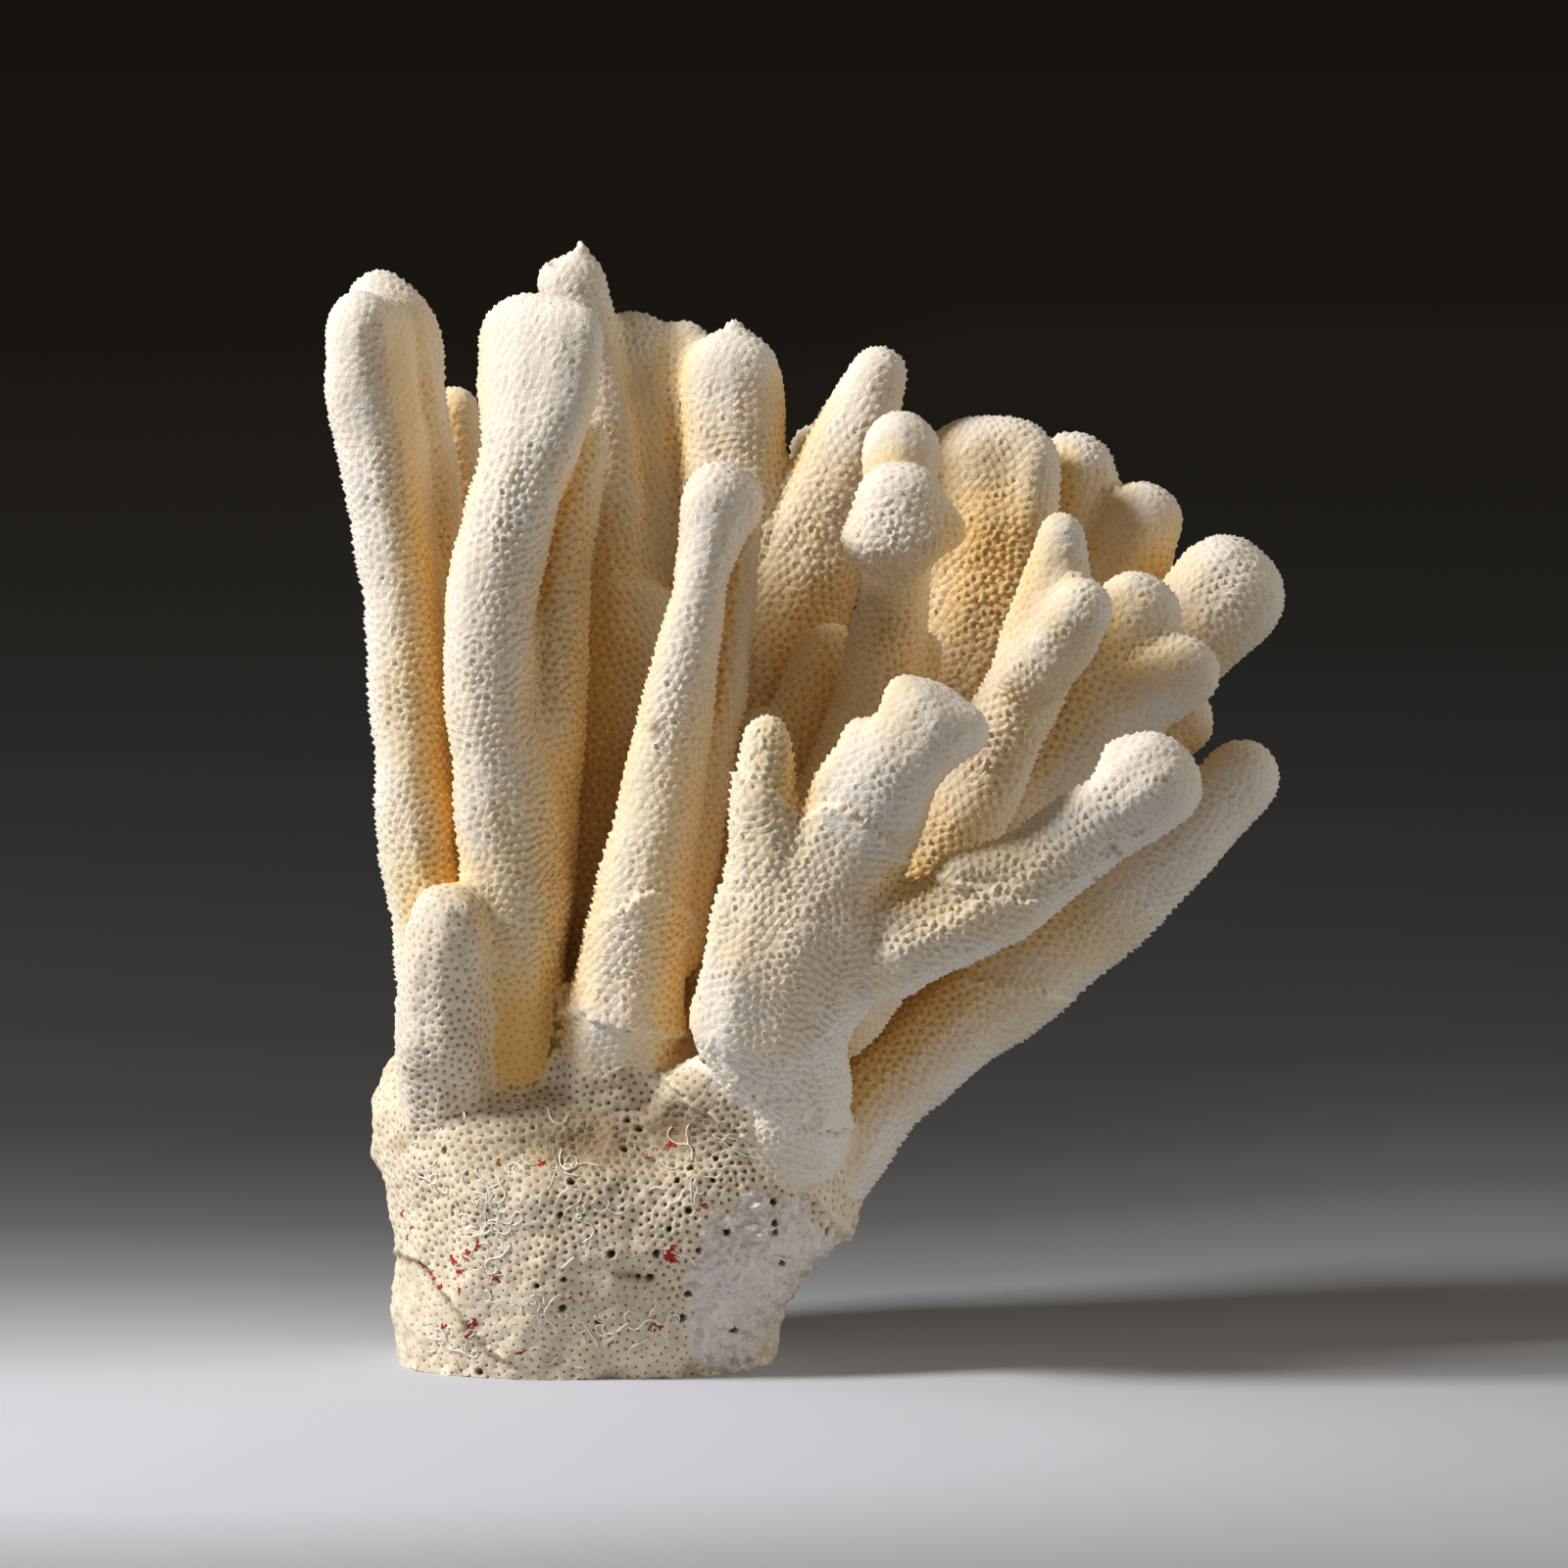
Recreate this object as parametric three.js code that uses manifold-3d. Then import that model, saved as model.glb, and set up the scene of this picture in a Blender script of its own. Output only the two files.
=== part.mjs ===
// Cat's paw coral: the bleached skeleton of one colony, cut off flat where it grew on the rock.
// A squat porous base carries a trunk and a fan of blunt fingers and blades. The fingers stand
// upright on the left and lean out to the right, and a second row of them stands behind.
// Millimetres, +Z up, origin at the middle of the cut face, -Y towards the viewer.
import * as THREE from "three";
import { mergeVertices } from "three/addons/utils/BufferGeometryUtils.js";
import Module from "manifold-3d";

const wasm = await Module();
wasm.setup();

// Driving dimensions
const CUT_HEIGHT = 1.4; // the rings' heights are measured from this far below the cut face
const FORK_GAP = 0.4; // clearance left where one branch grows out of another
const FINEST = 0.24; // shape finer than this is dropped from a joined branch
const RING_STEP = 18.4; // spacing of the rings that a limb is lofted through
const SLIM_SIDES = 8; // sides of a limb's section
const STOUT_SIDES = 10; // sides of a limb wider than STOUT_WIDTH
const STOUT_WIDTH = 9.3;
const CAP_ANGLES = [32, 62]; // latitudes of the rings that round off an end, in degrees
const LUMP = 0.03; // height of the slow swellings along a limb, as a share of its radius
const LUMP_LENGTH = 30; // length of one swelling
const BASE_SIDES = 20;
const BASE_SPANS = 7;

const SKELETON = { color: 0xf3ead8, roughness: 0.9, metalness: 0 };
const WORN_SKELETON = { color: 0xe9e0cf, roughness: 0.95, metalness: 0 };

const UP = new THREE.Vector3(0, 0, 1);
const radians = THREE.MathUtils.degToRad;

// One ring of a limb: its middle, its half width and half thickness, and the way that the
// width faces, in degrees from across the view (0) to straight back (90).
const ring = (x, y, z, wide, thick, turn = 0) => ({
  middle: new THREE.Vector3(x, y, z - CUT_HEIGHT),
  shape: new THREE.Vector3(wide, thick, turn),
});

// The rows of a lathed capsule, root first. Each keeps where it lies along the limb, how far it
// stands past the end, and how wide it is, the last two as shares of the end's size.
function capsuleRows(spans, flatRoot) {
  const cap = (along, sign) =>
    CAP_ANGLES.map((angle) => ({
      along,
      past: sign * Math.sin(radians(angle)),
      radius: Math.cos(radians(angle)),
    }));
  const rows = [{ along: 0, past: flatRoot ? 0 : -1, radius: 0 }];
  if (!flatRoot) rows.push(...cap(0, -1).reverse());
  for (let i = 0; i <= spans; i++) rows.push({ along: i / spans, past: 0, radius: 1 });
  rows.push(...cap(1, 1), { along: 1, past: 1, radius: 0 });
  return rows;
}

// A limb: the capsule bent along a smooth curve through its rings, which stay level on one with a
// flat root. grow swells it all round.
function limb({ rings, sides, spans, cap, lump = LUMP, flatRoot = false, squareness = 2 }, grow = 0) {
  const path = new THREE.CatmullRomCurve3(rings.map((r) => r.middle), false, "centripetal");
  const shapes = new THREE.CatmullRomCurve3(rings.map((r) => r.shape), false, "centripetal");
  const widest = Math.max(...rings.map((r) => r.shape.x));
  const around = sides ?? (widest > STOUT_WIDTH ? STOUT_SIDES : SLIM_SIDES);
  const length = path.getLength();
  const rows = capsuleRows(spans ?? Math.max(2, Math.round(length / RING_STEP)), flatRoot);
  const geometry = new THREE.LatheGeometry(rows.map((row, i) => new THREE.Vector2(row.radius, i)), around);
  const position = geometry.getAttribute("position");
  const spoke = new THREE.Vector3();
  for (let i = 0; i < position.count; i++) {
    spoke.fromBufferAttribute(position, i);
    const row = rows[Math.round(spoke.y)];
    const bearing = Math.atan2(spoke.z, spoke.x);
    const shape = shapes.getPoint(row.along);
    const tangent = flatRoot ? UP : path.getTangent(row.along);
    const turn = radians(shape.z);
    const across = new THREE.Vector3(Math.cos(turn), Math.sin(turn), 0);
    across.addScaledVector(tangent, -across.dot(tangent)).normalize();
    const through = new THREE.Vector3().crossVectors(across, tangent);
    const wave = (length * row.along * 2 * Math.PI) / LUMP_LENGTH;
    const swell = 1 + lump * (Math.sin(wave + bearing) + Math.sin(wave * 0.6 - 2 * bearing));
    // An exponent over 2 squares the section up, as a broad foot's is.
    const corner = Math.abs(Math.cos(bearing)) ** squareness + Math.abs(Math.sin(bearing)) ** squareness;
    const reach = (row.radius * swell) / corner ** (1 / squareness);
    const height = (cap ?? (shape.x + shape.y) / 2) + grow;
    const point = path.getPoint(row.along).addScaledVector(tangent, row.past * height);
    point.addScaledVector(across, Math.cos(bearing) * reach * (shape.x + grow));
    point.addScaledVector(through, Math.sin(bearing) * reach * (shape.y + grow));
    if (flatRoot) point.z = Math.max(point.z, 0);
    position.setXYZ(i, point.x, point.y, point.z);
  }
  return geometry;
}

// A closed three.js geometry as a solid that can be joined and cut.
function solid(geometry) {
  geometry.deleteAttribute("normal");
  geometry.deleteAttribute("uv");
  const merged = mergeVertices(geometry, 1e-3);
  return new wasm.Manifold(
    new wasm.Mesh({
      numProp: 3,
      vertProperties: merged.getAttribute("position").array,
      triVerts: new Uint32Array(merged.index.array),
    }),
  );
}

const joined = (limbs, grow = 0) =>
  limbs.map((each) => solid(limb(each, grow))).reduce((whole, next) => whole.add(next));

const largest = (body) =>
  body.decompose().reduce((best, next) => (next.volume() > best.volume() ? next : best));

// The foot of the colony. Its outline stands nearly straight on the left and runs out to the
// right, as the fan of fingers does, and its underside is the flat cut.
function base() {
  return [
    {
      sides: BASE_SIDES,
      spans: BASE_SPANS,
      flatRoot: true,
      squareness: 2.5,
      lump: 0.008,
      cap: 8,
      rings: [
        ring(0.3, 2, CUT_HEIGHT, 29, 24),
        ring(0.3, 2, 9.6, 30.6, 27),
        ring(3.2, 2, 16.5, 33, 29),
        ring(6, 2, 21.4, 36, 30),
        ring(7, 3, 27, 37.6, 30.5),
        ring(5.4, 3, 34, 38.4, 30.5),
        ring(0.6, 5, 42, 34.4, 28),
        ring(-0.5, 8, 47.4, 30.6, 22),
      ],
    },
    { cap: 4, rings: [ring(5, -7, 38, 15, 13), ring(6.6, -13, 52, 11, 10)] },
    { cap: 5, rings: [ring(18, -11, 30, 14, 11), ring(24, -18, 41, 14, 8.4), ring(29, -21, 46, 11, 6.4)] },
  ];
}

// The trunk that the right-hand fingers share. It leans the way that they do.
function trunk() {
  return [
    {
      rings: [
        ring(12, 7, 34, 20, 18),
        ring(22, 7, 50, 17, 17),
        ring(33, 7, 64, 13, 16),
        ring(41, 7, 74, 9, 13),
      ],
    },
  ];
}

// The hand at the front: a flat palm, a small pointed finger and a thick blunt one.
function hand() {
  return [
    {
      cap: 4.4,
      spans: 6,
      rings: [
        ring(33, -17, 38, 9, 9),
        ring(33.6, -23, 46, 8.4, 7.8),
        ring(32.6, -27, 51.6, 9.4, 7.6),
        ring(30.6, -31, 56.4, 12, 7.6),
        ring(30.6, -34, 62, 13.8, 7.2),
        ring(33, -36, 69, 14.4, 7),
        ring(35.2, -37, 76, 14.6, 6.6),
        ring(35.6, -37, 83, 11.4, 5.8),
      ],
    },
    {
      rings: [ring(30, -36.6, 82, 7, 6), ring(28.6, -37, 93, 5, 5.2), ring(29.2, -36, 103, 3.7, 4)],
    },
    {
      cap: 4.2,
      spans: 4,
      rings: [
        ring(38, -36, 80, 9.4, 6.6),
        ring(43.4, -37, 90, 9, 6.4),
        ring(48.4, -38.6, 98, 7.4, 6.2),
        ring(52.6, -40.2, 104, 7.6, 6.4),
        ring(55, -41, 107.6, 7.9, 6.4),
      ],
    },
    { sides: 6, spans: 1, rings: [ring(41, -37, 94, 6, 5.6), ring(44.6, -38, 102, 4.2, 4.8)] },
  ];
}

// The hand's long arm, with a ledge on its upper edge and a blunt round end.
function handArm() {
  return [
    {
      cap: 6,
      rings: [
        ring(35, -31.4, 65, 8, 6.4),
        ring(44.6, -35.8, 70.6, 9.2, 6.8),
        ring(54, -36.4, 73.4, 8.2, 6.6),
        ring(64.8, -35.8, 78, 6.8, 6),
        ring(76.5, -36, 87, 6.8, 6),
        ring(84.6, -36, 93.6, 7.4, 6.4),
        ring(89.4, -36, 97.4, 7.9, 6.6),
      ],
    },
    { cap: 2.6, rings: [ring(70, -36.4, 84.4, 5, 5), ring(58.6, -38, 82, 2.9, 4.2)] },
  ];
}

// The short blunt stub low on the front left.
function leftStub() {
  return [
    {
      rings: [
        ring(-21, -12, 43, 8, 8),
        ring(-22, -17, 51, 7.4, 7.4),
        ring(-21.4, -20, 60, 7, 7),
        ring(-20.8, -21.5, 73, 6.5, 6.4),
      ],
    },
  ];
}

// The tall pair of ridges at the far left, fused into one blade under a common hood.
function leftFinger() {
  return [
    {
      rings: [
        ring(-19, -8, 46, 7, 8),
        ring(-23, -9, 68, 6.4, 7),
        ring(-26, -9, 86, 6.2, 6.8),
        ring(-27.2, -8, 108, 5.9, 6.4),
        ring(-28.8, -8, 124, 5.7, 6),
        ring(-31.8, -8, 143, 5.7, 6),
        ring(-34.6, -8, 158, 5.8, 6),
        ring(-34.6, -8, 165.4, 5.3, 5.4),
      ],
    },
    {
      rings: [
        ring(-18, 2, 46, 7, 7),
        ring(-20.6, 3, 68, 6.4, 7),
        ring(-22.6, 5, 92, 6.2, 7),
        ring(-24.2, 6, 120, 6, 6.6),
        ring(-26.6, 6, 146, 6, 6.2),
        ring(-28.4, 5, 160, 6.4, 6),
        ring(-30, 2, 167.6, 6.4, 5.6),
      ],
    },
    {
      spans: 4,
      rings: [
        ring(-22.6, -3, 82, 4.4, 6),
        ring(-25, -2.4, 106, 4.8, 5.6),
        ring(-28.8, -2.4, 136, 5, 5.4),
        ring(-32.4, -3.4, 165, 5.6, 5.4),
      ],
    },
  ];
}

// The tall blade beside it. Its broad face looks left at the top and turns to look right
// further down, and a thinner ridge runs up behind its right edge.
function secondFinger() {
  return [
    {
      cap: 5.4,
      spans: 10,
      rings: [
        ring(-10.6, -9, 44, 6.8, 7, 30),
        ring(-10.4, -13, 61, 7.4, 7, 30),
        ring(-9.8, -15, 76, 8.6, 6.6, 30),
        ring(-10.8, -16, 90, 9.2, 6.4, 25),
        ring(-13.4, -17, 103, 7.6, 6.2, 15),
        ring(-14.2, -18, 115, 6.8, 6.2, 5),
        ring(-13.6, -18, 125, 7.1, 6.2, 0),
        ring(-12, -18, 133, 7.2, 6.2, -5),
        ring(-9.8, -18, 141, 7.1, 6, -15),
        ring(-7.6, -17.6, 148, 8.4, 6, -25),
        ring(-6.4, -17, 156, 10.2, 6, -30),
        ring(-6, -16, 165.4, 10.6, 5.6, -30),
      ],
    },
    {
      rings: [
        ring(-7, -8, 72, 5.4, 6),
        ring(-4.8, -11, 100, 5.2, 6),
        ring(-4.2, -10, 114, 5, 6),
        ring(-3.4, -8, 126, 4.6, 6),
        ring(-1.6, -5, 139, 4.2, 5.4),
        ring(0.6, -2, 147, 3.6, 4.6),
      ],
    },
  ];
}

// The round-headed finger in the front middle, with a slimmer one fused along its back.
function frontFinger() {
  return [
    {
      rings: [
        ring(5.6, -10, 40, 10, 9.4),
        ring(6.6, -15, 55, 9.4, 8.4),
        ring(7.6, -19, 67, 8.5, 7.4),
        ring(10.4, -20, 80, 7, 6.8),
        ring(14.2, -20, 100, 5.9, 6),
        ring(16.6, -20, 114, 4.7, 5.3),
        ring(18.4, -20, 125, 4.1, 4.8),
        ring(20.4, -20, 133, 5, 5),
        ring(21.9, -20, 139, 5.9, 5.8),
      ],
    },
    {
      rings: [
        ring(14, -13, 68, 5, 5.4),
        ring(20.4, -10, 100, 4, 5),
        ring(23.6, -9, 118, 3.2, 4.6),
        ring(25.2, -9, 138.6, 3.4, 4.4),
      ],
    },
  ];
}

// The thin blade behind it, with its lit edge to the left. It forks into a spike with a nub on
// its tip and a broad thin plate with two ridges.
function spikedBlade() {
  return [
    {
      cap: 2.6,
      rings: [
        ring(-1, 4, 46, 5, 4, 40),
        ring(2, 6, 66, 6, 3.7, 40),
        ring(4.4, 8, 80, 7.4, 3.7, 40),
        ring(5.8, 10, 98, 8.3, 3.7, 40),
        ring(7.2, 13, 112, 8.7, 3.7, 40),
        ring(8.4, 15, 121.6, 8.4, 3.7, 40),
      ],
    },
    {
      cap: 3.4,
      rings: [
        ring(3, 14, 100, 5, 5),
        ring(4, 20, 123, 5.4, 5.2),
        ring(3.4, 23, 146, 5.8, 5.2),
        ring(0.4, 25, 160, 6, 5),
        ring(-2, 25, 172, 4.9, 4.6),
      ],
    },
    { sides: 6, rings: [ring(-2, 25, 174.4, 2.4, 2.4), ring(-1.2, 25, 177.2, 1.8, 1.8)] },
    {
      rings: [
        ring(5, 14, 92, 8, 6),
        ring(7.5, 24, 122, 7.4, 5.4),
        ring(7.8, 28, 146, 7, 5),
        ring(7.8, 29, 161.4, 6.3, 4.6),
      ],
    },
    {
      rings: [
        ring(10, 16, 100, 6.4, 5),
        ring(13.4, 26, 124, 6.4, 4.8),
        ring(15, 30, 146, 6.2, 4.6),
        ring(15, 30, 160, 5.6, 4.4),
      ],
    },
  ];
}

// The wide body behind the middle, which forks into an upright finger with a nub on its tip
// and one that slants away to the right.
function middleFork() {
  return [
    {
      rings: [
        ring(14, 14, 44, 9, 8),
        ring(20, 18, 72, 9.6, 7.4),
        ring(23.4, 22, 100, 10.4, 7),
        ring(24.2, 24, 126, 9.4, 6.6),
        ring(23.8, 24, 146, 8.4, 6.4),
        ring(23.6, 24, 157, 8, 6),
      ],
    },
    { sides: 6, rings: [ring(23.6, 24, 160, 2.8, 2.8), ring(23.8, 24, 164.4, 1.6, 1.6)] },
    {
      rings: [
        ring(22, 20, 78, 9, 7),
        ring(29, 22, 104, 9.6, 6.8),
        ring(34, 22, 122, 9.6, 6.6),
        ring(38.6, 22, 136, 8.4, 6.4),
        ring(43, 22, 146.6, 6.8, 6),
        ring(46.8, 22, 156.6, 4.6, 4.8),
      ],
    },
  ];
}

// The stalk with two knobs, one in front of the other, and a small bud on its right.
function knobbedFinger() {
  return [
    {
      rings: [
        ring(27, -4, 52, 8, 7),
        ring(35.4, -6, 78, 7, 6.4),
        ring(43, -6, 98.6, 6.4, 6),
        ring(46.4, -6, 109, 6, 5.8),
        ring(48.4, -5.4, 119, 5.5, 5.6),
        ring(49.6, -4, 130, 5.4, 5.4),
        ring(50, -1, 139, 5.4, 5.4),
        ring(50.2, 0, 146, 6.5, 6),
      ],
    },
    {
      sides: STOUT_SIDES,
      cap: 4.4,
      rings: [
        ring(49.8, -9, 126.4, 5, 5),
        ring(50.2, -12.4, 130.6, 8.2, 6.6),
        ring(50.4, -14, 135.4, 9.7, 7),
        ring(50, -13.4, 139.8, 7, 6),
      ],
    },
    { sides: 6, rings: [ring(50, -2, 104, 4.4, 4.4), ring(53.6, 0, 113.5, 3.2, 3.2)] },
  ];
}

// A low blade in the shade between the front finger and the knobbed one. Its rim climbs to
// the right in two steps.
function middleBlade() {
  return [
    {
      rings: [
        ring(18, 0, 44, 8, 6, 10),
        ring(22.5, 2, 64, 8.4, 5.2, 10),
        ring(27, 4, 84, 7.8, 4.8, 10),
        ring(29.6, 5, 99, 6.4, 4.4, 10),
      ],
    },
    { rings: [ring(28, 5, 70, 8, 5.4, 10), ring(34.8, 7, 94, 8, 5, 10), ring(39.4, 9, 112, 6.8, 4.4, 10)] },
  ];
}

// The peaked finger at the front right, with a lobe like a thumb below its peak.
function peakedFinger() {
  return [
    {
      rings: [
        ring(39, -15, 60, 9.4, 8.4),
        ring(50, -14, 76, 9, 7.6),
        ring(60, -12, 90, 7, 6.4),
        ring(67.4, -12.6, 104, 6.4, 6),
        ring(71.8, -16, 115, 6.3, 6),
        ring(74.4, -20, 125.6, 5.6, 5.4),
        ring(74.9, -20, 132.8, 3.9, 4.2),
      ],
    },
    {
      rings: [
        ring(70.6, -18, 112, 6.2, 5.6),
        ring(75.4, -22, 118.6, 5.8, 5.2),
        ring(77.6, -25, 122.4, 5, 4.8),
      ],
    },
  ];
}

// The flat paddle behind it, held out to the right, with its rim rounded in two lobes.
function paddle() {
  return [
    {
      cap: 5,
      rings: [
        ring(40, 2, 62, 7, 7),
        ring(50, 0, 74, 6.8, 6),
        ring(66, 0, 90, 7, 5.6),
        ring(77.5, -1, 100, 7.8, 5.4),
        ring(86, -2.6, 107, 8.4, 5.2),
        ring(95, -4, 111.4, 6.4, 4.8),
      ],
    },
    {
      cap: 5,
      rings: [
        ring(58, 0, 86, 6, 5.4),
        ring(72, -1, 103, 7.2, 5.4),
        ring(81, -2, 113, 7.6, 5.4),
        ring(88.4, -2, 121.2, 7.2, 5.2),
      ],
    },
  ];
}

// The lowest arm on the right, which leaves the base itself.
function lowArm() {
  return [
    {
      rings: [
        ring(33, -3, 27, 10, 11),
        ring(43, -4, 41.4, 8.2, 9.4),
        ring(53.4, -3, 51.8, 8.5, 9),
        ring(67.6, -1, 61.8, 8.3, 8.4),
        ring(81.6, 1, 72, 7.6, 7.6),
        ring(92, 2, 80.6, 6.8, 6.8),
        ring(100, 3, 89, 6, 6),
        ring(104.2, 4, 93.4, 6.2, 6.2),
      ],
    },
  ];
}

// The arm in the shade below the paddle.
function shadedArm() {
  return [
    {
      rings: [
        ring(41, 8, 60, 6, 7),
        ring(57, 11, 70, 6, 6),
        ring(73, 12, 84.4, 5.8, 5.6),
        ring(87, 12, 96, 5.6, 5.2),
        ring(94.8, 12, 102, 5.2, 5),
      ],
    },
  ];
}

// The broadest blade, behind the knobs: a rounded rim over a face like the palm of a paw.
function broadBlade() {
  return [
    {
      cap: 5,
      rings: [
        ring(32, 10, 58, 8, 8, -10),
        ring(42, 14, 74, 7.8, 7, -10),
        ring(52, 18, 92, 8.4, 6.4, -10),
        ring(58.6, 21, 108, 9.8, 6, -10),
        ring(62.6, 23, 122, 11.2, 6, -10),
        ring(64.4, 24, 134, 11.8, 6, -10),
        ring(64, 24, 145.2, 10.8, 5.6, -10),
      ],
    },
    { rings: [ring(69.6, 23, 126, 5, 5.6), ring(71.4, 22, 142.6, 4.8, 5.4)] },
  ];
}

// The arm that ends in the big round lobe at the far right.
function roundArm() {
  return [
    {
      cap: 7.6,
      rings: [
        ring(41, 10, 66, 7, 7),
        ring(62, 18, 83, 7, 6.4),
        ring(80, 20, 99.5, 7.4, 6.2),
        ring(92.6, 20, 111.6, 8.4, 6.8),
        ring(103.6, 20, 122.6, 9.6, 7.6),
      ],
    },
  ];
}

// The far blade at the upper right, whose rim steps down in two lobes.
function farBlade() {
  return [
    {
      rings: [
        ring(40, 16, 64, 7, 7),
        ring(56, 26, 84, 7.6, 6),
        ring(71, 32, 108, 9, 5.6),
        ring(78.6, 34, 127, 8.6, 5.4),
        ring(79, 34, 141.2, 6.8, 5),
      ],
    },
    {
      rings: [
        ring(66, 28, 96, 7, 5.6),
        ring(79, 30, 112, 8.4, 5.6),
        ring(86.4, 31, 125, 8.2, 5.4),
        ring(89.6, 31, 133, 7, 5),
      ],
    },
  ];
}

// The row behind, which the photographed side hides but for two knobs: the tip of a slim
// finger beside the far left one, and one in the notch of the middle fork.
function rearLeftFinger() {
  return [
    {
      rings: [
        ring(-16, 11, 42, 7, 7),
        ring(-18.4, 16, 70, 6, 6),
        ring(-19.4, 19, 104, 5, 5.4),
        ring(-20, 20, 136, 4.4, 4.8),
        ring(-20.6, 20, 151, 3.9, 4.2),
      ],
    },
  ];
}

function rearNotchFinger() {
  return [
    {
      rings: [
        ring(22, 22, 46, 8, 7),
        ring(29, 34, 76, 7, 6),
        ring(35.4, 40, 106, 6, 5.4),
        ring(37, 42, 128, 5, 5),
        ring(37, 42, 143.6, 4.2, 4.4),
      ],
    },
  ];
}

function rearStub() {
  return [
    {
      rings: [
        ring(-17, 18, 32, 9, 8),
        ring(-19, 25, 48, 7.6, 7),
        ring(-20, 29, 64, 6.8, 6.4),
        ring(-20.4, 30.5, 76, 6.2, 6),
      ],
    },
  ];
}

function rearMiddleBlade() {
  return [
    {
      rings: [
        ring(-4, 16, 38, 9, 7),
        ring(-3, 28, 64, 8.6, 6, -15),
        ring(-2, 35, 92, 9.6, 5.6, -15),
        ring(-2.4, 38, 116, 9, 5.4, -15),
        ring(-3, 38, 130, 7.4, 5, -15),
      ],
    },
    { rings: [ring(-8, 36, 106, 5, 5), ring(-12, 39, 124, 4.6, 4.6), ring(-13, 40, 138, 4.2, 4.2)] },
  ];
}

function rearRightFork() {
  return [
    {
      rings: [
        ring(24, 18, 36, 9, 8),
        ring(36, 32, 58, 8, 7),
        ring(46, 40, 84, 7.4, 6),
        ring(52, 44, 106, 6.4, 5.6),
        ring(54, 45, 118, 5.4, 5.2),
      ],
    },
    {
      rings: [
        ring(40, 35, 66, 7, 6),
        ring(56, 42, 82, 6.6, 5.8),
        ring(67, 46, 98, 5.6, 5.4),
        ring(71, 47, 106, 5, 5),
      ],
    },
  ];
}

function rearLowArm() {
  return [
    {
      rings: [
        ring(26, 14, 26, 9, 9),
        ring(43, 26, 42, 8, 8),
        ring(60, 33, 56, 7, 7),
        ring(74, 38, 70, 6.2, 6.2),
        ring(81, 40, 79, 5.8, 5.8),
      ],
    },
  ];
}

// From the foot up. Where two branches meet, the earlier one is whole and the later is cut back.
const COLONY = [
  ["base", base, WORN_SKELETON],
  ["trunk", trunk, SKELETON],
  ["hand", hand, SKELETON],
  ["hand_arm", handArm, SKELETON],
  ["left_stub", leftStub, SKELETON],
  ["left_finger", leftFinger, SKELETON],
  ["second_finger", secondFinger, SKELETON],
  ["front_finger", frontFinger, SKELETON],
  ["spiked_blade", spikedBlade, SKELETON],
  ["middle_fork", middleFork, SKELETON],
  ["knobbed_finger", knobbedFinger, SKELETON],
  ["middle_blade", middleBlade, SKELETON],
  ["peaked_finger", peakedFinger, SKELETON],
  ["paddle", paddle, SKELETON],
  ["low_arm", lowArm, SKELETON],
  ["shaded_arm", shadedArm, SKELETON],
  ["broad_blade", broadBlade, SKELETON],
  ["round_arm", roundArm, SKELETON],
  ["far_blade", farBlade, SKELETON],
  ["rear_left_finger", rearLeftFinger, SKELETON],
  ["rear_middle_blade", rearMiddleBlade, SKELETON],
  ["rear_notch_finger", rearNotchFinger, SKELETON],
  ["rear_stub", rearStub, SKELETON],
  ["rear_right_fork", rearRightFork, SKELETON],
  ["rear_low_arm", rearLowArm, SKELETON],
];

// A solid as a mesh with its own material.
function meshOf(name, body, finish) {
  const { vertProperties, triVerts } = body.getMesh();
  const geometry = new THREE.BufferGeometry();
  geometry.setAttribute("position", new THREE.BufferAttribute(vertProperties, 3));
  geometry.setIndex(new THREE.BufferAttribute(triVerts, 1));
  geometry.computeVertexNormals();
  const mesh = new THREE.Mesh(geometry, new THREE.MeshStandardMaterial(finish));
  mesh.name = name;
  return mesh;
}

const coral = new THREE.Group();
let grown = null; // everything built so far, swollen by the gap
for (const [name, limbs, finish] of COLONY) {
  const whole = joined(limbs());
  const body = grown ? whole.subtract(grown) : whole;
  coral.add(meshOf(name, largest(body.simplify(FINEST)), finish));
  const swollen = joined(limbs(), FORK_GAP);
  grown = grown ? grown.add(swollen) : swollen;
}

export default coral;
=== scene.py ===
import math

import bmesh
import bpy
import numpy as np
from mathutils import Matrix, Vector, noise
from mathutils.bvhtree import BVHTree
from mathutils.kdtree import KDTree


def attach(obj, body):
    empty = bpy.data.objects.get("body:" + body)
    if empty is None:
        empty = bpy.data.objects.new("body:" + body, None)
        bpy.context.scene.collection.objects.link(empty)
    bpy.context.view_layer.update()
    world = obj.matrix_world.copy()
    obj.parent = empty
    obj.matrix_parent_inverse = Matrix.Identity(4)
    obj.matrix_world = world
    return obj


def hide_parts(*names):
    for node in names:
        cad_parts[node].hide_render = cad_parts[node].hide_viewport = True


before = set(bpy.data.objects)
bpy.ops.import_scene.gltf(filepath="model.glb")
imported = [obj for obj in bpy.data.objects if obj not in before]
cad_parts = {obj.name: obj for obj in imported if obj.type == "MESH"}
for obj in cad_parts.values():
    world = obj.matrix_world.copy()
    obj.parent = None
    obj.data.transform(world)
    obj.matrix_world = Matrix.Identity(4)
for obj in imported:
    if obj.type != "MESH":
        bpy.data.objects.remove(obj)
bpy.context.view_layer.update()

# The grown form. The whole colony is one bare skeleton of lime, laid down layer on layer by the
# living coral, so its branches run into one another with no joint. Here the plain solids of all
# the branches are swelled until they touch, fused, and their facets rounded off. All is in mm.
MM = 0.001
FORK_SWELL = 0.3
FORM_SPACING = 0.85
CUT_DEPTH = 6.0
ROUNDING_PASSES = 12
UNEVEN_RISE = 0.45
UNEVEN_PITCH = 9.0
CHIP_REACH = 1.6
CHIP_PITCH = 2.6
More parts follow.
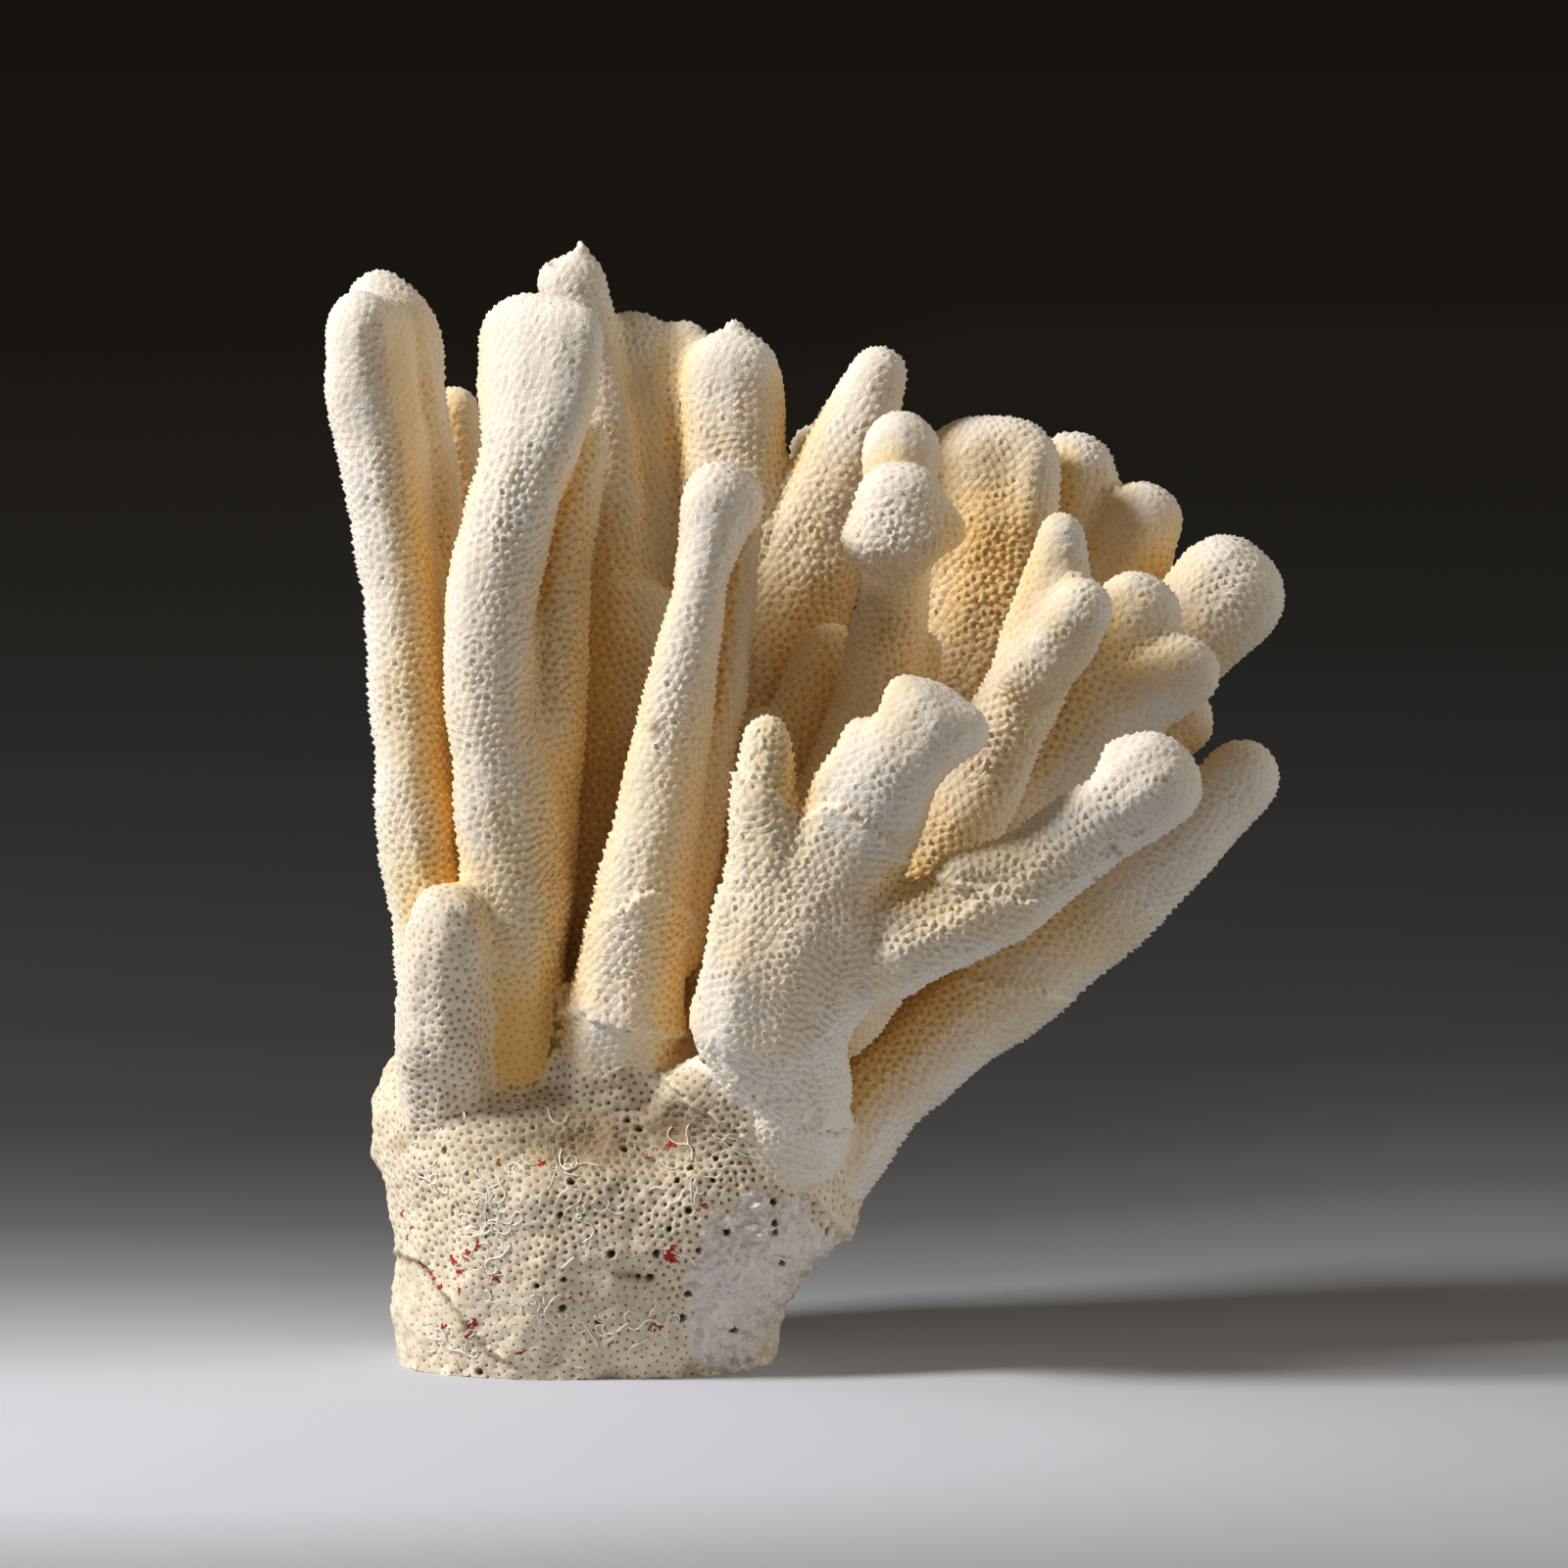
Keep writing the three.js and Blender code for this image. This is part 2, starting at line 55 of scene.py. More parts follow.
CHIP_DEPTH = 0.7
SAME_POINT = 1e-6
NEAR_CUT = 0.5
# Knots and dents that are too small for the plain solids: middle, reach and rise.
knots = [
    ((-31.0, -2.0, 47.5), 2.6, 1.6),
    ((-31.5, -2.0, 33.0), 2.8, 1.3),
    ((-29.5, -2.0, 19.0), 4.0, -1.3),
    ((2.0, -26.0, 39.5), 6.5, -2.4),
    ((-8.0, -26.0, 38.5), 5.5, -2.2),
    ((13.0, -26.0, 39.0), 6.0, -1.8),
    ((-16.0, -25.0, 29.0), 4.0, 1.2),
    ((-8.0, -27.0, 29.5), 4.0, 1.5),
    ((-0.5, -28.0, 30.0), 4.0, 1.2),
    ((17.0, -25.0, 48.8), 3.4, 1.0),
    ((24.3, -33.0, 49.4), 3.4, 0.9),
    ((5.5, -22.0, 0.5), 3.2, -2.4),
    ((18.2, -21.0, 0.5), 2.4, -2.4),
    ((50.8, -41.0, 84.3), 1.3, 2.2),
    ((47.5, -39.0, 104.7), 2.6, -1.8),
    ((43.2, -38.0, 102.8), 2.4, 1.5),
    ((49.6, -41.0, 110.0), 3.0, 1.3),
    ((61.6, -41.0, 103.4), 3.4, 1.5),
    ((56.2, -40.0, 94.8), 3.6, -1.2),
    ((57.0, -44.0, 107.5), 3.6, -0.8),
    ((57.4, -38.0, 81.6), 2.0, 1.4),
    ((79.4, -36.0, 95.2), 3.4, -1.3),
    ((81.6, -36.0, 100.2), 3.0, 1.2),
    ((27.0, -20.0, 136.2), 3.4, 1.0),
    ((21.9, -18.0, 123.9), 3.6, -1.3),
    ((14.4, -20.0, 124.0), 3.4, -0.8),
    ((44.0, -6.0, 137.4), 2.6, -1.4),
    ((57.6, -6.0, 138.4), 2.6, -1.4),
    ((41.6, -13.0, 130.4), 3.2, 1.0),
    ((60.0, -13.0, 133.4), 3.2, 1.0),
    ((49.4, -18.5, 124.0), 3.4, -1.6),
    ((42.0, -6.0, 122.6), 2.6, -1.0),
    ((57.4, -12.0, 126.0), 3.8, -2.2),
    ((-5.0, 25.0, 170.5), 3.4, 1.5),
    ((-3.0, 25.0, 176.5), 2.4, -1.8),
    ((-34.5, 0.0, 168.5), 3.4, 2.2),
    ((-25.8, 2.0, 170.0), 3.4, -1.2),
    ((47.4, -42.0, 73.4), 4.4, -1.5),
    ((42.4, -42.0, 73.0), 3.4, 0.8),
    ((-31.7, 0.0, 171.9), 2.4, 0.8),
    ((-23.9, 4.0, 167.3), 3.0, -0.8),
]
branches = sorted(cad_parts)


def branch_solid(branch):
    """A branch's corners in mm, swelled a little, and its faces. The foot reaches below its cut."""
    solid = bmesh.new()
    solid.from_mesh(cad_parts[branch].data)
    bmesh.ops.remove_doubles(solid, verts=solid.verts, dist=SAME_POINT)
    solid.normal_update()
    corners = np.array([corner.co / MM + corner.normal * FORK_SWELL for corner in solid.verts])
    faces = [[corner.index for corner in face.verts] for face in solid.faces]
    solid.free()
    if branch == "base":
        corners[corners[:, 2] < NEAR_CUT, 2] = -CUT_DEPTH
    return corners, faces


def new_mesh(name, corners, faces):
    """A mesh object in metres from corners in mm."""
    mesh = bpy.data.meshes.new(name)
    mesh.from_pydata((np.asarray(corners) * MM).tolist(), [], np.asarray(faces).tolist())
    thing = bpy.data.objects.new(name, mesh)
    bpy.context.scene.collection.objects.link(thing)
    return thing


def shaped_by(thing, kind, **settings):
    """What a modifier makes of a mesh object, which is used up: corners in mm, quads and edges."""
    modifier = thing.modifiers.new(kind, kind)
    for setting, value in settings.items():
        setattr(modifier, setting, value)
    mesh = thing.evaluated_get(bpy.context.evaluated_depsgraph_get()).to_mesh()
    corners = np.empty(len(mesh.vertices) * 3, np.float32)
    mesh.vertices.foreach_get("co", corners)
    quads = np.empty(len(mesh.loops), np.int32)
    mesh.loops.foreach_get("vertex_index", quads)
    edges = np.empty(len(mesh.edges) * 2, np.int32)
    mesh.edges.foreach_get("vertices", edges)
    bpy.data.objects.remove(thing)
    return corners.reshape(-1, 3) / MM, quads.reshape(-1, 4), edges.reshape(-1, 2)


def neighbour_table(edges, count):
    """The neighbours of each point as rows of one table, filled up with the point itself."""
    pairs = np.concatenate((edges, edges[:, ::-1]))
    pairs = pairs[np.argsort(pairs[:, 0], kind="stable")]
    starts = np.searchsorted(pairs[:, 0], np.arange(count))
    places = np.arange(len(pairs)) - starts[pairs[:, 0]]
    table = np.repeat(np.arange(count)[:, None], places.max() + 1, axis=1)
    table[pairs[:, 0], places] = pairs[:, 1]
    return table


def evened(values, table, passes):
    """Values averaged with their neighbours, pass after pass."""
    for _ in range(passes):
        values = 0.5 * values + 0.5 * values[table].mean(axis=1)
    return values


def unit(vectors):
    """Vectors brought to a length of one."""
    return vectors / np.maximum(np.linalg.norm(vectors, axis=-1, keepdims=True), 1e-9)


def corner_normals(corners, faces):
    """The outward direction at each corner, from triangles or quads."""
    across = corners[faces[:, 2]] - corners[faces[:, 0]]
    along = corners[faces[:, -1]] - corners[faces[:, 1]]
    if faces.shape[1] == 3:
        across, along = corners[faces[:, 1]] - corners[faces[:, 0]], across
    facing = np.cross(across, along)
    total = np.zeros_like(corners)
    for place in range(faces.shape[1]):
        for axis in range(3):
            total[:, axis] += np.bincount(faces[:, place], facing[:, axis], len(corners))
    return unit(total)


SEED_SHIFT = (17.3, 5.1, 11.7)
WANDER_SPAN = 1.6


def wander(points, pitch, seed):
    """A slow, smooth random value from about -1 to 1 at each point."""
    shift = Vector([seed * step for step in SEED_SHIFT])
    values = [noise.noise(Vector(point) / pitch + shift) for point in points.tolist()]
    return np.array(values) * WANDER_SPAN


solid_corners, solid_faces, solid_branch = [], [], []
for number, branch in enumerate(branches):
    corners, faces = branch_solid(branch)
    first = sum(len(part) for part in solid_corners)
    solid_corners.append(corners)
    solid_faces += [[corner + first for corner in face] for face in faces]
    solid_branch += [number] * len(faces)
solid_corners = np.concatenate(solid_corners)
fused = new_mesh("fused_form", solid_corners, solid_faces)
form, form_quads, form_edges = shaped_by(
    fused, "REMESH", mode="VOXEL", voxel_size=FORM_SPACING * MM
)
form_table = neighbour_table(form_edges, len(form))
rounded = evened(form, form_table, ROUNDING_PASSES)
form = rounded + evened(form - rounded, form_table, ROUNDING_PASSES)
uneven = wander(form, UNEVEN_PITCH, 1) * UNEVEN_RISE
for middle, reach, rise in knots:
    uneven += rise * np.exp(-((form - middle) ** 2).sum(axis=1) / reach**2)
chipped = np.exp(-np.maximum(form[:, 2], 0) / CHIP_REACH)
uneven += chipped * wander(form, CHIP_PITCH, 2) * CHIP_DEPTH
form = form + corner_normals(form, form_quads) * uneven[:, None]

# The corallites, the small cups that the polyps sat in. They cover every branch about 1.5 mm
# apart, packed as evenly as the curves let them. Sites are scattered over the form and settle
# until each has about the same room, and neighbouring sites are joined into a net of triangles.
CORALLITE_SPACING = 1.47
SCATTER_GAP = 0.795
SETTLING_ROUNDS = 7
HAND_OVERS = 2
PATCH_STEPS = 8
CATCH_UP_STEPS = 4
chance = np.random.default_rng(20)

form_object = new_mesh("rounded_form", form, form_quads)
dense, dense_quads, dense_edges = shaped_by(
    form_object, "SUBSURF", levels=1, render_levels=1, subdivision_type="CATMULL_CLARK"
)
dense_faces = np.concatenate((dense_quads[:, [0, 1, 2]], dense_quads[:, [0, 2, 3]]))
dense_edges = np.concatenate((dense_edges, dense_quads[:, [0, 2]]))
dense_table = neighbour_table(dense_edges, len(dense))
dense_normals = corner_normals(dense, dense_faces)


def point_tree(points):
    """A tree that finds the points nearest to a place."""
    tree = KDTree(len(points))
    for number, point in enumerate(points.tolist()):
        tree.insert(point, number)
    tree.balance()
    return tree


def scattered(points, gap):
    """Points taken in a random order, none closer to another than the gap."""
    tree = point_tree(points)
    free = bytearray(b"\x01") * len(points)
    taken = []
    places = points.tolist()
    for number in chance.permutation(len(points)).tolist():
        if free[number]:
            taken.append(number)
            for _, near, _ in tree.find_range(places[number], gap):
                free[near] = 0
    return np.array(taken)


def summed_by(owner, vectors, count):
    """The sum of the vectors of each owner."""
    return np.stack([np.bincount(owner, vectors[:, axis], count) for axis in range(3)], 1)


def drawn_to_neighbours(points, table, sites, owner):
    """Each point goes over to a neighbour's site where that one is nearer."""
    best = ((points - sites[owner]) ** 2).sum(axis=1)
    for column in table.T:
        other = owner[column]
        reach = ((points - sites[other]) ** 2).sum(axis=1)
        nearer = reach < best
        owner = np.where(nearer, other, owner)
        best = np.where(nearer, reach, best)
    return owner


def settled(points, table, seeds, rounds):
    """The sites moved to the middle of what they own, and the site that owns each point."""
    sites = points[seeds]
    tree = point_tree(sites)
    owner = np.array([tree.find(point)[1] for point in points.tolist()])
    for _ in range(rounds):
        share = np.maximum(np.bincount(owner, minlength=len(sites)), 1)[:, None]
        sites = summed_by(owner, points, len(sites)) / share
        for _ in range(HAND_OVERS):
            owner = drawn_to_neighbours(points, table, sites, owner)
    return sites, owner


def in_one_patch(points, table, sites, owner):
    """Points cut off from the rest of their site's patch go over to the patch around them."""
    reach = ((points - sites[owner]) ** 2).sum(axis=1)
    order = np.lexsort((reach, owner))
    heart = order[np.searchsorted(owner[order], np.arange(len(sites)))]
    joined = np.zeros(len(points), bool)
    joined[heart] = True
    for _ in range(PATCH_STEPS):
        same = owner[table] == owner[:, None]
        joined |= (joined[table] & same).any(axis=1)
    for _ in range(CATCH_UP_STEPS):
        loose = np.flatnonzero(~joined)
        pick = joined[table[loose]].argmax(axis=1)
        found = joined[table[loose, pick]]
        owner[loose[found]] = owner[table[loose, pick]][found]
        joined[loose[found]] = True
    return owner


def edges_of(faces):
    """The three edges of each triangle, each in the direction of its run."""
    return np.concatenate((faces[:, [0, 1]], faces[:, [1, 2]], faces[:, [2, 0]]))


seeds = scattered(dense, SCATTER_GAP * CORALLITE_SPACING)
sites, owner = settled(dense, dense_table, seeds, SETTLING_ROUNDS)
owner = in_one_patch(dense, dense_table, sites, owner)
net = owner[dense_faces]
net = net[(net[:, 0] != net[:, 1]) & (net[:, 1] != net[:, 2]) & (net[:, 2] != net[:, 0])]
turned = np.argmin(net, axis=1)
net = np.stack([net[np.arange(len(net)), (turned + place) % 3] for place in range(3)], 1)
net = np.unique(net, axis=0)
net_edges = np.unique(np.sort(edges_of(net), axis=1), axis=0)
net_table = neighbour_table(net_edges, len(sites))
outward = unit(summed_by(owner, dense_normals, len(sites)))

# The branches as single pieces. Each corallite goes to the branch whose solid is nearest, and the
# border between two branches is evened until it runs as cleanly as a real fork.
BORDER_PASSES = 5
solid_tree = BVHTree.FromPolygons(solid_corners.tolist(), solid_faces)
home = np.array(solid_branch)[[solid_tree.find_nearest(site)[2] for site in sites.tolist()]]
for _ in range(BORDER_PASSES):
    around = home[net_table]
    votes = (around[:, :, None] == around[:, None, :]).sum(axis=1)
    home = around[np.arange(len(home)), votes.argmax(axis=1)]
net_home = np.where(home[net[:, 1]] == home[net[:, 2]], home[net[:, 1]], home[net[:, 0]])

# Shelter, how far a place is hemmed in by the branches around it. Bleaching and handling left the
# tips and outer sides white, and the deep places between the branches kept a warm amber tone. The
# amber laid by shelter is also painted shade: it stands for the warm light that glows between and
# through the branches.
SHELTER_REACH = 38.0
SHELTER_RAYS = 14
SHELTER_START = 0.6
SHELTER_PASSES = 2
golden_turn = math.pi * (3 - math.sqrt(5))
skin_tree = BVHTree.FromPolygons(sites.tolist(), net.tolist())


def shelter_at(point, facing):
    """The share of the open half-space that nearby branches close off."""
    origin = Vector(point) + Vector(facing) * SHELTER_START
    turn = Vector(facing).to_track_quat("Z", "Y")
    closed = 0.0
    for ray in range(SHELTER_RAYS):
        height = math.sqrt(1 - (ray + 0.5) / SHELTER_RAYS)
        width = math.sqrt(1 - height * height)
        around = ray * golden_turn
        way = turn @ Vector((width * math.cos(around), width * math.sin(around), height))
        distance = skin_tree.ray_cast(origin, way, SHELTER_REACH)[3]
        closed += 0 if distance is None else 1 - distance / SHELTER_REACH
    return closed / SHELTER_RAYS


shelter = [shelter_at(point, facing) for point, facing in zip(sites.tolist(), outward.tolist())]
shelter = evened(np.array(shelter), net_table, SHELTER_PASSES)

# Growth edges. Where a new layer of skeleton spread over an older one it stopped at a thin raised
# lip. Places here are mm to the right of and above the middle of the front view, which looks at
# the colony from 1.4 m away and a little above, and is 248 mm wide.
VIEW_CENTRE = np.array([31.8, 0.0, 91.6])
VIEW_DISTANCE = 1400.0
VIEW_DROP = math.radians(5)
VIEW_WIDTH = 248.0
view_ahead = np.array([0.0, math.cos(VIEW_DROP), -math.sin(VIEW_DROP)])
view_up = np.array([0.0, math.sin(VIEW_DROP), math.cos(VIEW_DROP)])
EDGE_FALL = 2.8
EDGE_BOOST = 2.0
EDGE_REACH = 9.0
LIP_MIDDLE = 0.3
LIP_WIDTH = 0.45
LIP_RAGGED_PITCH = 2.2
LIP_RAGGED = 0.5
FACING_VIEW = -0.05
# The branches that each edge runs over, its rise, and its course with the newer layer on its right.
growth_edges = [
    (("hand",), 0.55, [
        (-8.1, 2.0), (-5.1, 1.1), (-1.9, -1.0), (0.3, -2.6), (2.2, -5.1), (4.1, -4.8), (6.7, -3.4),
        (9.8, -3.6), (13.0, -6.4), (16.1, -8.9), (18.0, -10.2), (19.6, -11.9),
    ]),
    (("hand_arm",), 0.5, [(25.5, -14.2), (31.0, -16.0), (35.5, -18.0), (39.5, -18.0)]),
    (("front_finger",), 0.4, [
        (-27.0, -20.0), (-23.5, -18.2), (-20.0, -17.0), (-16.5, -18.5), (-14.6, -20.5), (-14.4, -22.6),
        (-16.3, -26.0),
    ]),
    (("front_finger", "base"), 0.6, [
        (-12.0, -39.5), (-15.5, -40.0), (-19.5, -39.8), (-23.7, -39.3), (-27.9, -38.0), (-31.6, -36.5),
        (-34.5, -36.3),
    ]),
    (("hand", "base"), 0.9, [
        (9.0, -54.5), (6.8, -54.2), (3.4, -54.8), (2.6, -53.5), (0.2, -51.3), (-3.6, -49.4), (-8.2, -46.3),
        (-12.0, -42.5),
    ]),
    (("base", "low_arm"), 0.6, [
        (10.5, -71.8), (6.4, -68.4), (2.2, -62.6), (-2.8, -58.0), (-7.0, -55.0), (-12.4, -52.0),
        (-18.6, -47.2),
    ]),
    (("base",), 0.5, [
        (-43.2, -91.1), (-46.1, -90.0), (-47.4, -88.2), (-49.3, -86.6), (-50.5, -84.2), (-52.4, -81.7),
        (-54.7, -78.4), (-57.5, -75.0), (-60.9, -74.2),
    ]),
    (("low_arm",), 0.4, [(28.7, -31.0), (35.0, -31.6), (42.6, -33.3)]),
]


def seen_from_front(points):
    """Where points lie in the front view, in mm to the right of and above its middle."""
    offset = points - VIEW_CENTRE
    scale = VIEW_DISTANCE / (VIEW_DISTANCE + offset @ view_ahead)
    return np.stack((offset[:, 0] * scale, offset @ view_up * scale), 1)


def patch(places, across, up, wide, high):
    """A value that is 1 at a place in the front view and fades out over a width and a height."""
    away = (places - (across, up)) / (wide, high)
    return np.exp(-(away**2).sum(axis=1))


def off_line(places, line):
    """Distance from a line of straight stretches, below zero to the right of its direction."""
    best = np.full(len(places), 1e9)
    side = np.ones(len(places))
    line = np.array(line)
    for start, end in zip(line[:-1], line[1:]):
        along = end - start
        share = np.clip(((places - start) @ along) / (along @ along), 0, 1)
        gap = places - start - share[:, None] * along
        length = np.linalg.norm(gap, axis=1)
        turn = along[0] * gap[:, 1] - along[1] * gap[:, 0]
        nearer = length < best
        best = np.where(nearer, length, best)
        side = np.where(nearer, np.sign(turn), side)
    return best * side


def layer_lift(points, facing, where):
    """How far the newer layers stand up at each point, and how close it is to a lip."""
    lift, lip = np.zeros(len(points)), np.zeros(len(points))
    places = seen_from_front(points)
    ragged = wander(points, LIP_RAGGED_PITCH, 5) * LIP_RAGGED
    for owners, rise, line in growth_edges:
        own = np.isin(where, [branches.index(name) for name in owners])
        here = np.flatnonzero(own & (facing @ view_ahead < FACING_VIEW))
        gap = -off_line(places[here], line) + ragged[here]
        near = np.abs(gap) < EDGE_REACH
        raised = np.where(gap > 0, np.exp(-gap / EDGE_FALL), 0) * rise * EDGE_BOOST
        lift[here] = np.maximum(lift[here], np.where(near, raised, 0))
        lip[here] = np.maximum(lip[here], np.exp(-((gap - LIP_MIDDLE) / LIP_WIDTH) ** 2))
    return lift, lip


# Bores and crust of the foot. Worms and sponges bored larger holes into it, a smooth lime crust
# covers its right side, and small red shells are cemented to it in patches. Places are in the
# front view, as for the growth edges; the sides and the back get theirs by chance.
BORE_RADIUS = 0.7
BORE_DEPTH = 1.5
UNSEEN_BORES = 60
UNSEEN_SHELLS = 26
UNSEEN_FROM = -0.1
SHELL_SIZES = (0.5, 1.1)
ABOVE_CUT = 2.0
WORN_PASSES = 4
STUB_WEAR = 0.55
WEAR_PITCH = 8.0
WEAR_CHANGE = 0.12
CRUST_RAGGED = 2.2
CRUST_RAGGED_PITCH = 3.0
CRUST_TURNED = 0.25
bores = [
    (-22.4, -53.9), (-1.9, -66.8), (-2.2, -69.4), (-1.1, -71.3), (0.2, -78.6), (-0.2, -75.6),
    (-14.7, -80.5), (-8.0, -85.9), (-15.9, -83.8), (-8.6, -70.7), (-14.0, -60.6), (-11.0, -59.2),
    (-16.7, -62.6), (-15.5, -68.0), (-13.4, -73.8), (-10.9, -62.3), (-22.9, -77.5), (-21.7, -78.1),
    (6.5, -70.5), (-25.1, -53.0), (-25.4, -57.8), (-35.3, -60.0), (-33.2, -62.7), (-35.2, -68.0),
    (-56.6, -42.6), (-53.9, -58.7), (-57.4, -62.8), (-59.7, -45.6), (-34.1, -77.7), (-27.7, -74.3),
    (-20.8, -74.3), (-23.0, -77.5), (-17.7, -70.8), (-29.4, -84.5), (-47.9, -92.7), (-35.3, -83.7),
    (-39.1, -78.7),
]
crust_outline = [
    (-8.2, -67.1), (-4.0, -64.2), (-1.6, -66.3), (4.3, -66.3), (6.4, -69.6), (9.7, -72.1), (5.9, -75.9),
    (0.2, -81.7), (-3.3, -88.4), (-6.5, -93.3), (-11.2, -93.3), (-14.4, -89.1), (-15.7, -83.4),
    (-16.5, -78.7), (-14.0, -70.8),
]
# Red shells: across, up and size.
red_shells = [
    (-48.5, -73.0, 0.7), (-50.2, -74.4, 1.0), (-52.1, -75.3, 1.1), (-51.0, -77.2, 0.9),
    (-45.8, -78.1, 0.9), (-53.6, -79.8, 0.9), (-50.7, -80.0, 0.7), (-56.0, -77.2, 0.8),
    (-57.0, -75.8, 0.7), (-55.6, -78.4, 0.7), (-42.6, -72.5, 0.5), (-51.3, -67.1, 0.5),
    (-17.8, -74.7, 1.4), (-34.1, -81.3, 0.7), (-31.9, -80.9, 0.5), (-27.4, -88.2, 0.8),
    (-20.8, -86.2, 0.8), (-19.5, -85.9, 0.7), (-41.4, -89.9, 0.7), (-49.6, -85.6, 0.8),
    (-48.8, -84.9, 0.7), (-49.9, -87.3, 0.6), (-54.1, -85.6, 0.6), (-53.7, -88.9, 0.5),
    (-60.3, -67.9, 0.6), (-58.6, -70.2, 0.6), (-59.2, -71.6, 0.6), (-38.2, -60.0, 0.9),
    (-45.2, -59.5, 0.5), (-18.0, -57.0, 1.1), (-21.6, -59.2, 0.8), (-13.0, -66.7, 0.7),
    (-37.9, -51.2, 0.5),
]
base_number = branches.index("base")
site_places = seen_from_front(sites)
towards_back = outward @ view_ahead


def inside_outline(places, outline):
    """Whether each place lies inside a closed outline."""
    inside = np.zeros(len(places), bool)
    for (x1, y1), (x2, y2) in zip(outline, outline[1:] + outline[:1]):
        across = (places[:, 1] < y1) != (places[:, 1] < y2)
        inside ^= across & (places[:, 0] < (x2 - x1) * (places[:, 1] - y1) / ((y2 - y1) or 1e-9) + x1)
    return inside


def behind_view(across, up):
    """The first place of the skin behind a place in the front view, or None."""
    eye = VIEW_CENTRE - VIEW_DISTANCE * view_ahead
    target = VIEW_CENTRE + np.array([across, 0, 0]) + up * view_up
    return skin_tree.ray_cast(Vector(eye), Vector(unit(target - eye)))[0]


site_tree = point_tree(sites)
bored = np.zeros(len(sites))
for across, up in bores:
    hit = behind_view(across, up)
    if hit:
        bored[site_tree.find(hit)[1]] = 1
on_foot = (home == base_number) & (sites[:, 2] > ABOVE_CUT)
unseen_foot = np.flatnonzero(on_foot & (towards_back > UNSEEN_FROM))
bored[chance.choice(unseen_foot, UNSEEN_BORES, replace=False)] = 1
shells = [(behind_view(across, up), size) for across, up, size in red_shells]
shells = [(np.array(hit), size) for hit, size in shells if hit]
# Brown stains: across, up, reach and strength, and two stain lines in the lower left of the foot.
# Painted shadow: across, up, half width, half height and strength; the first three lay a cast
# shadow over the upper foot beside the stub, the last darkens the lower foot.
stains = [
    (16.6, 24.3, 2.6, 0.22), (15.0, 28.7, 1.4, 0.2), (52.1, -10.2, 0.6, 1.0), (53.0, -11.0, 0.45, 0.9),
    (51.2, -11.4, 0.4, 0.8), (55.5, -8.2, 0.35, 0.9), (56.6, -7.6, 0.35, 0.9), (49.3, -15.0, 0.4, 0.8),
    (45.7, -14.4, 0.35, 0.7), (59.4, 1.1, 0.5, 0.9), (60.3, 0.6, 0.4, 0.8), (58.0, -1.6, 0.3, 0.8),
    (-36.9, 82.2, 0.5, 0.9), (-46.3, 54.4, 0.3, 0.9), (-20.3, 8.8, 1.2, 0.8), (-18.0, -53.5, 2.2, 0.4),
    (-60.5, -57.0, 1.6, 0.5), (-58.8, -46.0, 1.2, 0.4), (-36.0, -90.5, 2.0, 0.4),
]
painted_shadow_places = [
    (-31.0, -56.6, 15.0, 6.5, 1.0), (-17.0, -54.0, 8.0, 6.0, 1.0), (-24.8, -45.0, 9.0, 6.0, 0.6),
    (-27.0, -80.0, 14.0, 8.0, 0.3),
]
dirt_lines = [
    [(-60.9, -74.6), (-57.5, -75.6), (-54.7, -79.0), (-52.4, -82.4), (-49.3, -87.2), (-46.1, -90.6),
     (-43.2, -91.8)],
    [(-27.0, -77.5), (-24.0, -77.8), (-21.5, -78.4)],
]
for number in chance.choice(unseen_foot, UNSEEN_SHELLS, replace=False):
    shells.append((sites[number], chance.uniform(*SHELL_SIZES)))
left_stub = branches.index("left_stub")
front_finger = branches.index("front_finger")
worn = evened((home == base_number) * 1.0 + (home == left_stub) * STUB_WEAR, net_table, WORN_PASSES)
worn = np.clip(worn + wander(sites, WEAR_PITCH, 3) * WEAR_CHANGE * (worn > 0.05), 0, 1)
frayed = np.stack([wander(sites, CRUST_RAGGED_PITCH, seed) for seed in (13, 14)], 1) * CRUST_RAGGED
in_crust = inside_outline(site_places + frayed, crust_outline)
crusted = (home == base_number) & (towards_back < CRUST_TURNED) & in_crust
crusted = evened(crusted * 1.0, net_table, 1)

# Older lime is yellower: every branch is whitest at its outer end. Some places in the middle of
# the fan are painted amber on their front sides as painted shade, where other branches shade them.
# Each is across, up, half width, half height and strength.
HEART = np.array([6.0, 2.0, 8.0])
OLD_LIME = 0.05
TIP_START = 0.8
TIP_SPAN = 0.15
OLD_FROM = 0.95
OLD_SPAN = 0.35
FRONT_SHARE = 0.3
HOLLOW = (-41.8, -41.0)
FRESH_REACH = 2.4
FRESH_PALING = 0.4
FRESH_UNWORN = 0.9
painted_shade_places = [
    (*HOLLOW, 5.0, 11.0, 0.7), (-30.5, 12.0, 4.4, 34.0, 0.34), (-43.4, -15.0, 7.0, 14.0, 0.10),
    (32.5, 37.0, 9.0, 13.0, 0.44), (16.5, 20.0, 5.5, 11.0, 0.24), (48.0, -24.5, 13.0, 6.0, 0.16),
    (32.5, -33.5, 10.0, 5.0, 0.13), (29.5, -20.5, 10.0, 4.0, 0.15), (0.0, 12.0, 7.0, 26.0, 0.16),
    (-26.5, 16.0, 4.0, 26.0, 0.2), (-60.5, 12.0, 4.0, 40.0, 0.08), (56.0, 20.0, 9.0, 5.0, 0.14),
    (16.0, -18.5, 8.0, 4.0, 0.14), (38.0, -13.0, 8.0, 3.5, 0.2), (-3.0, -20.0, 12.0, 14.0, 0.09),
]
out_from_heart = np.linalg.norm(sites - HEART, axis=1)
tipness = np.zeros(len(sites))
for number in range(len(branches)):
    own = home == number
    share = out_from_heart[own] / np.percentile(out_from_heart[own], 99)
    shelter[own] += OLD_LIME * np.clip((OLD_FROM - share) / OLD_SPAN, 0, 1)
    tipness[own] = np.clip((share - TIP_START) / TIP_SPAN, 0, 1)
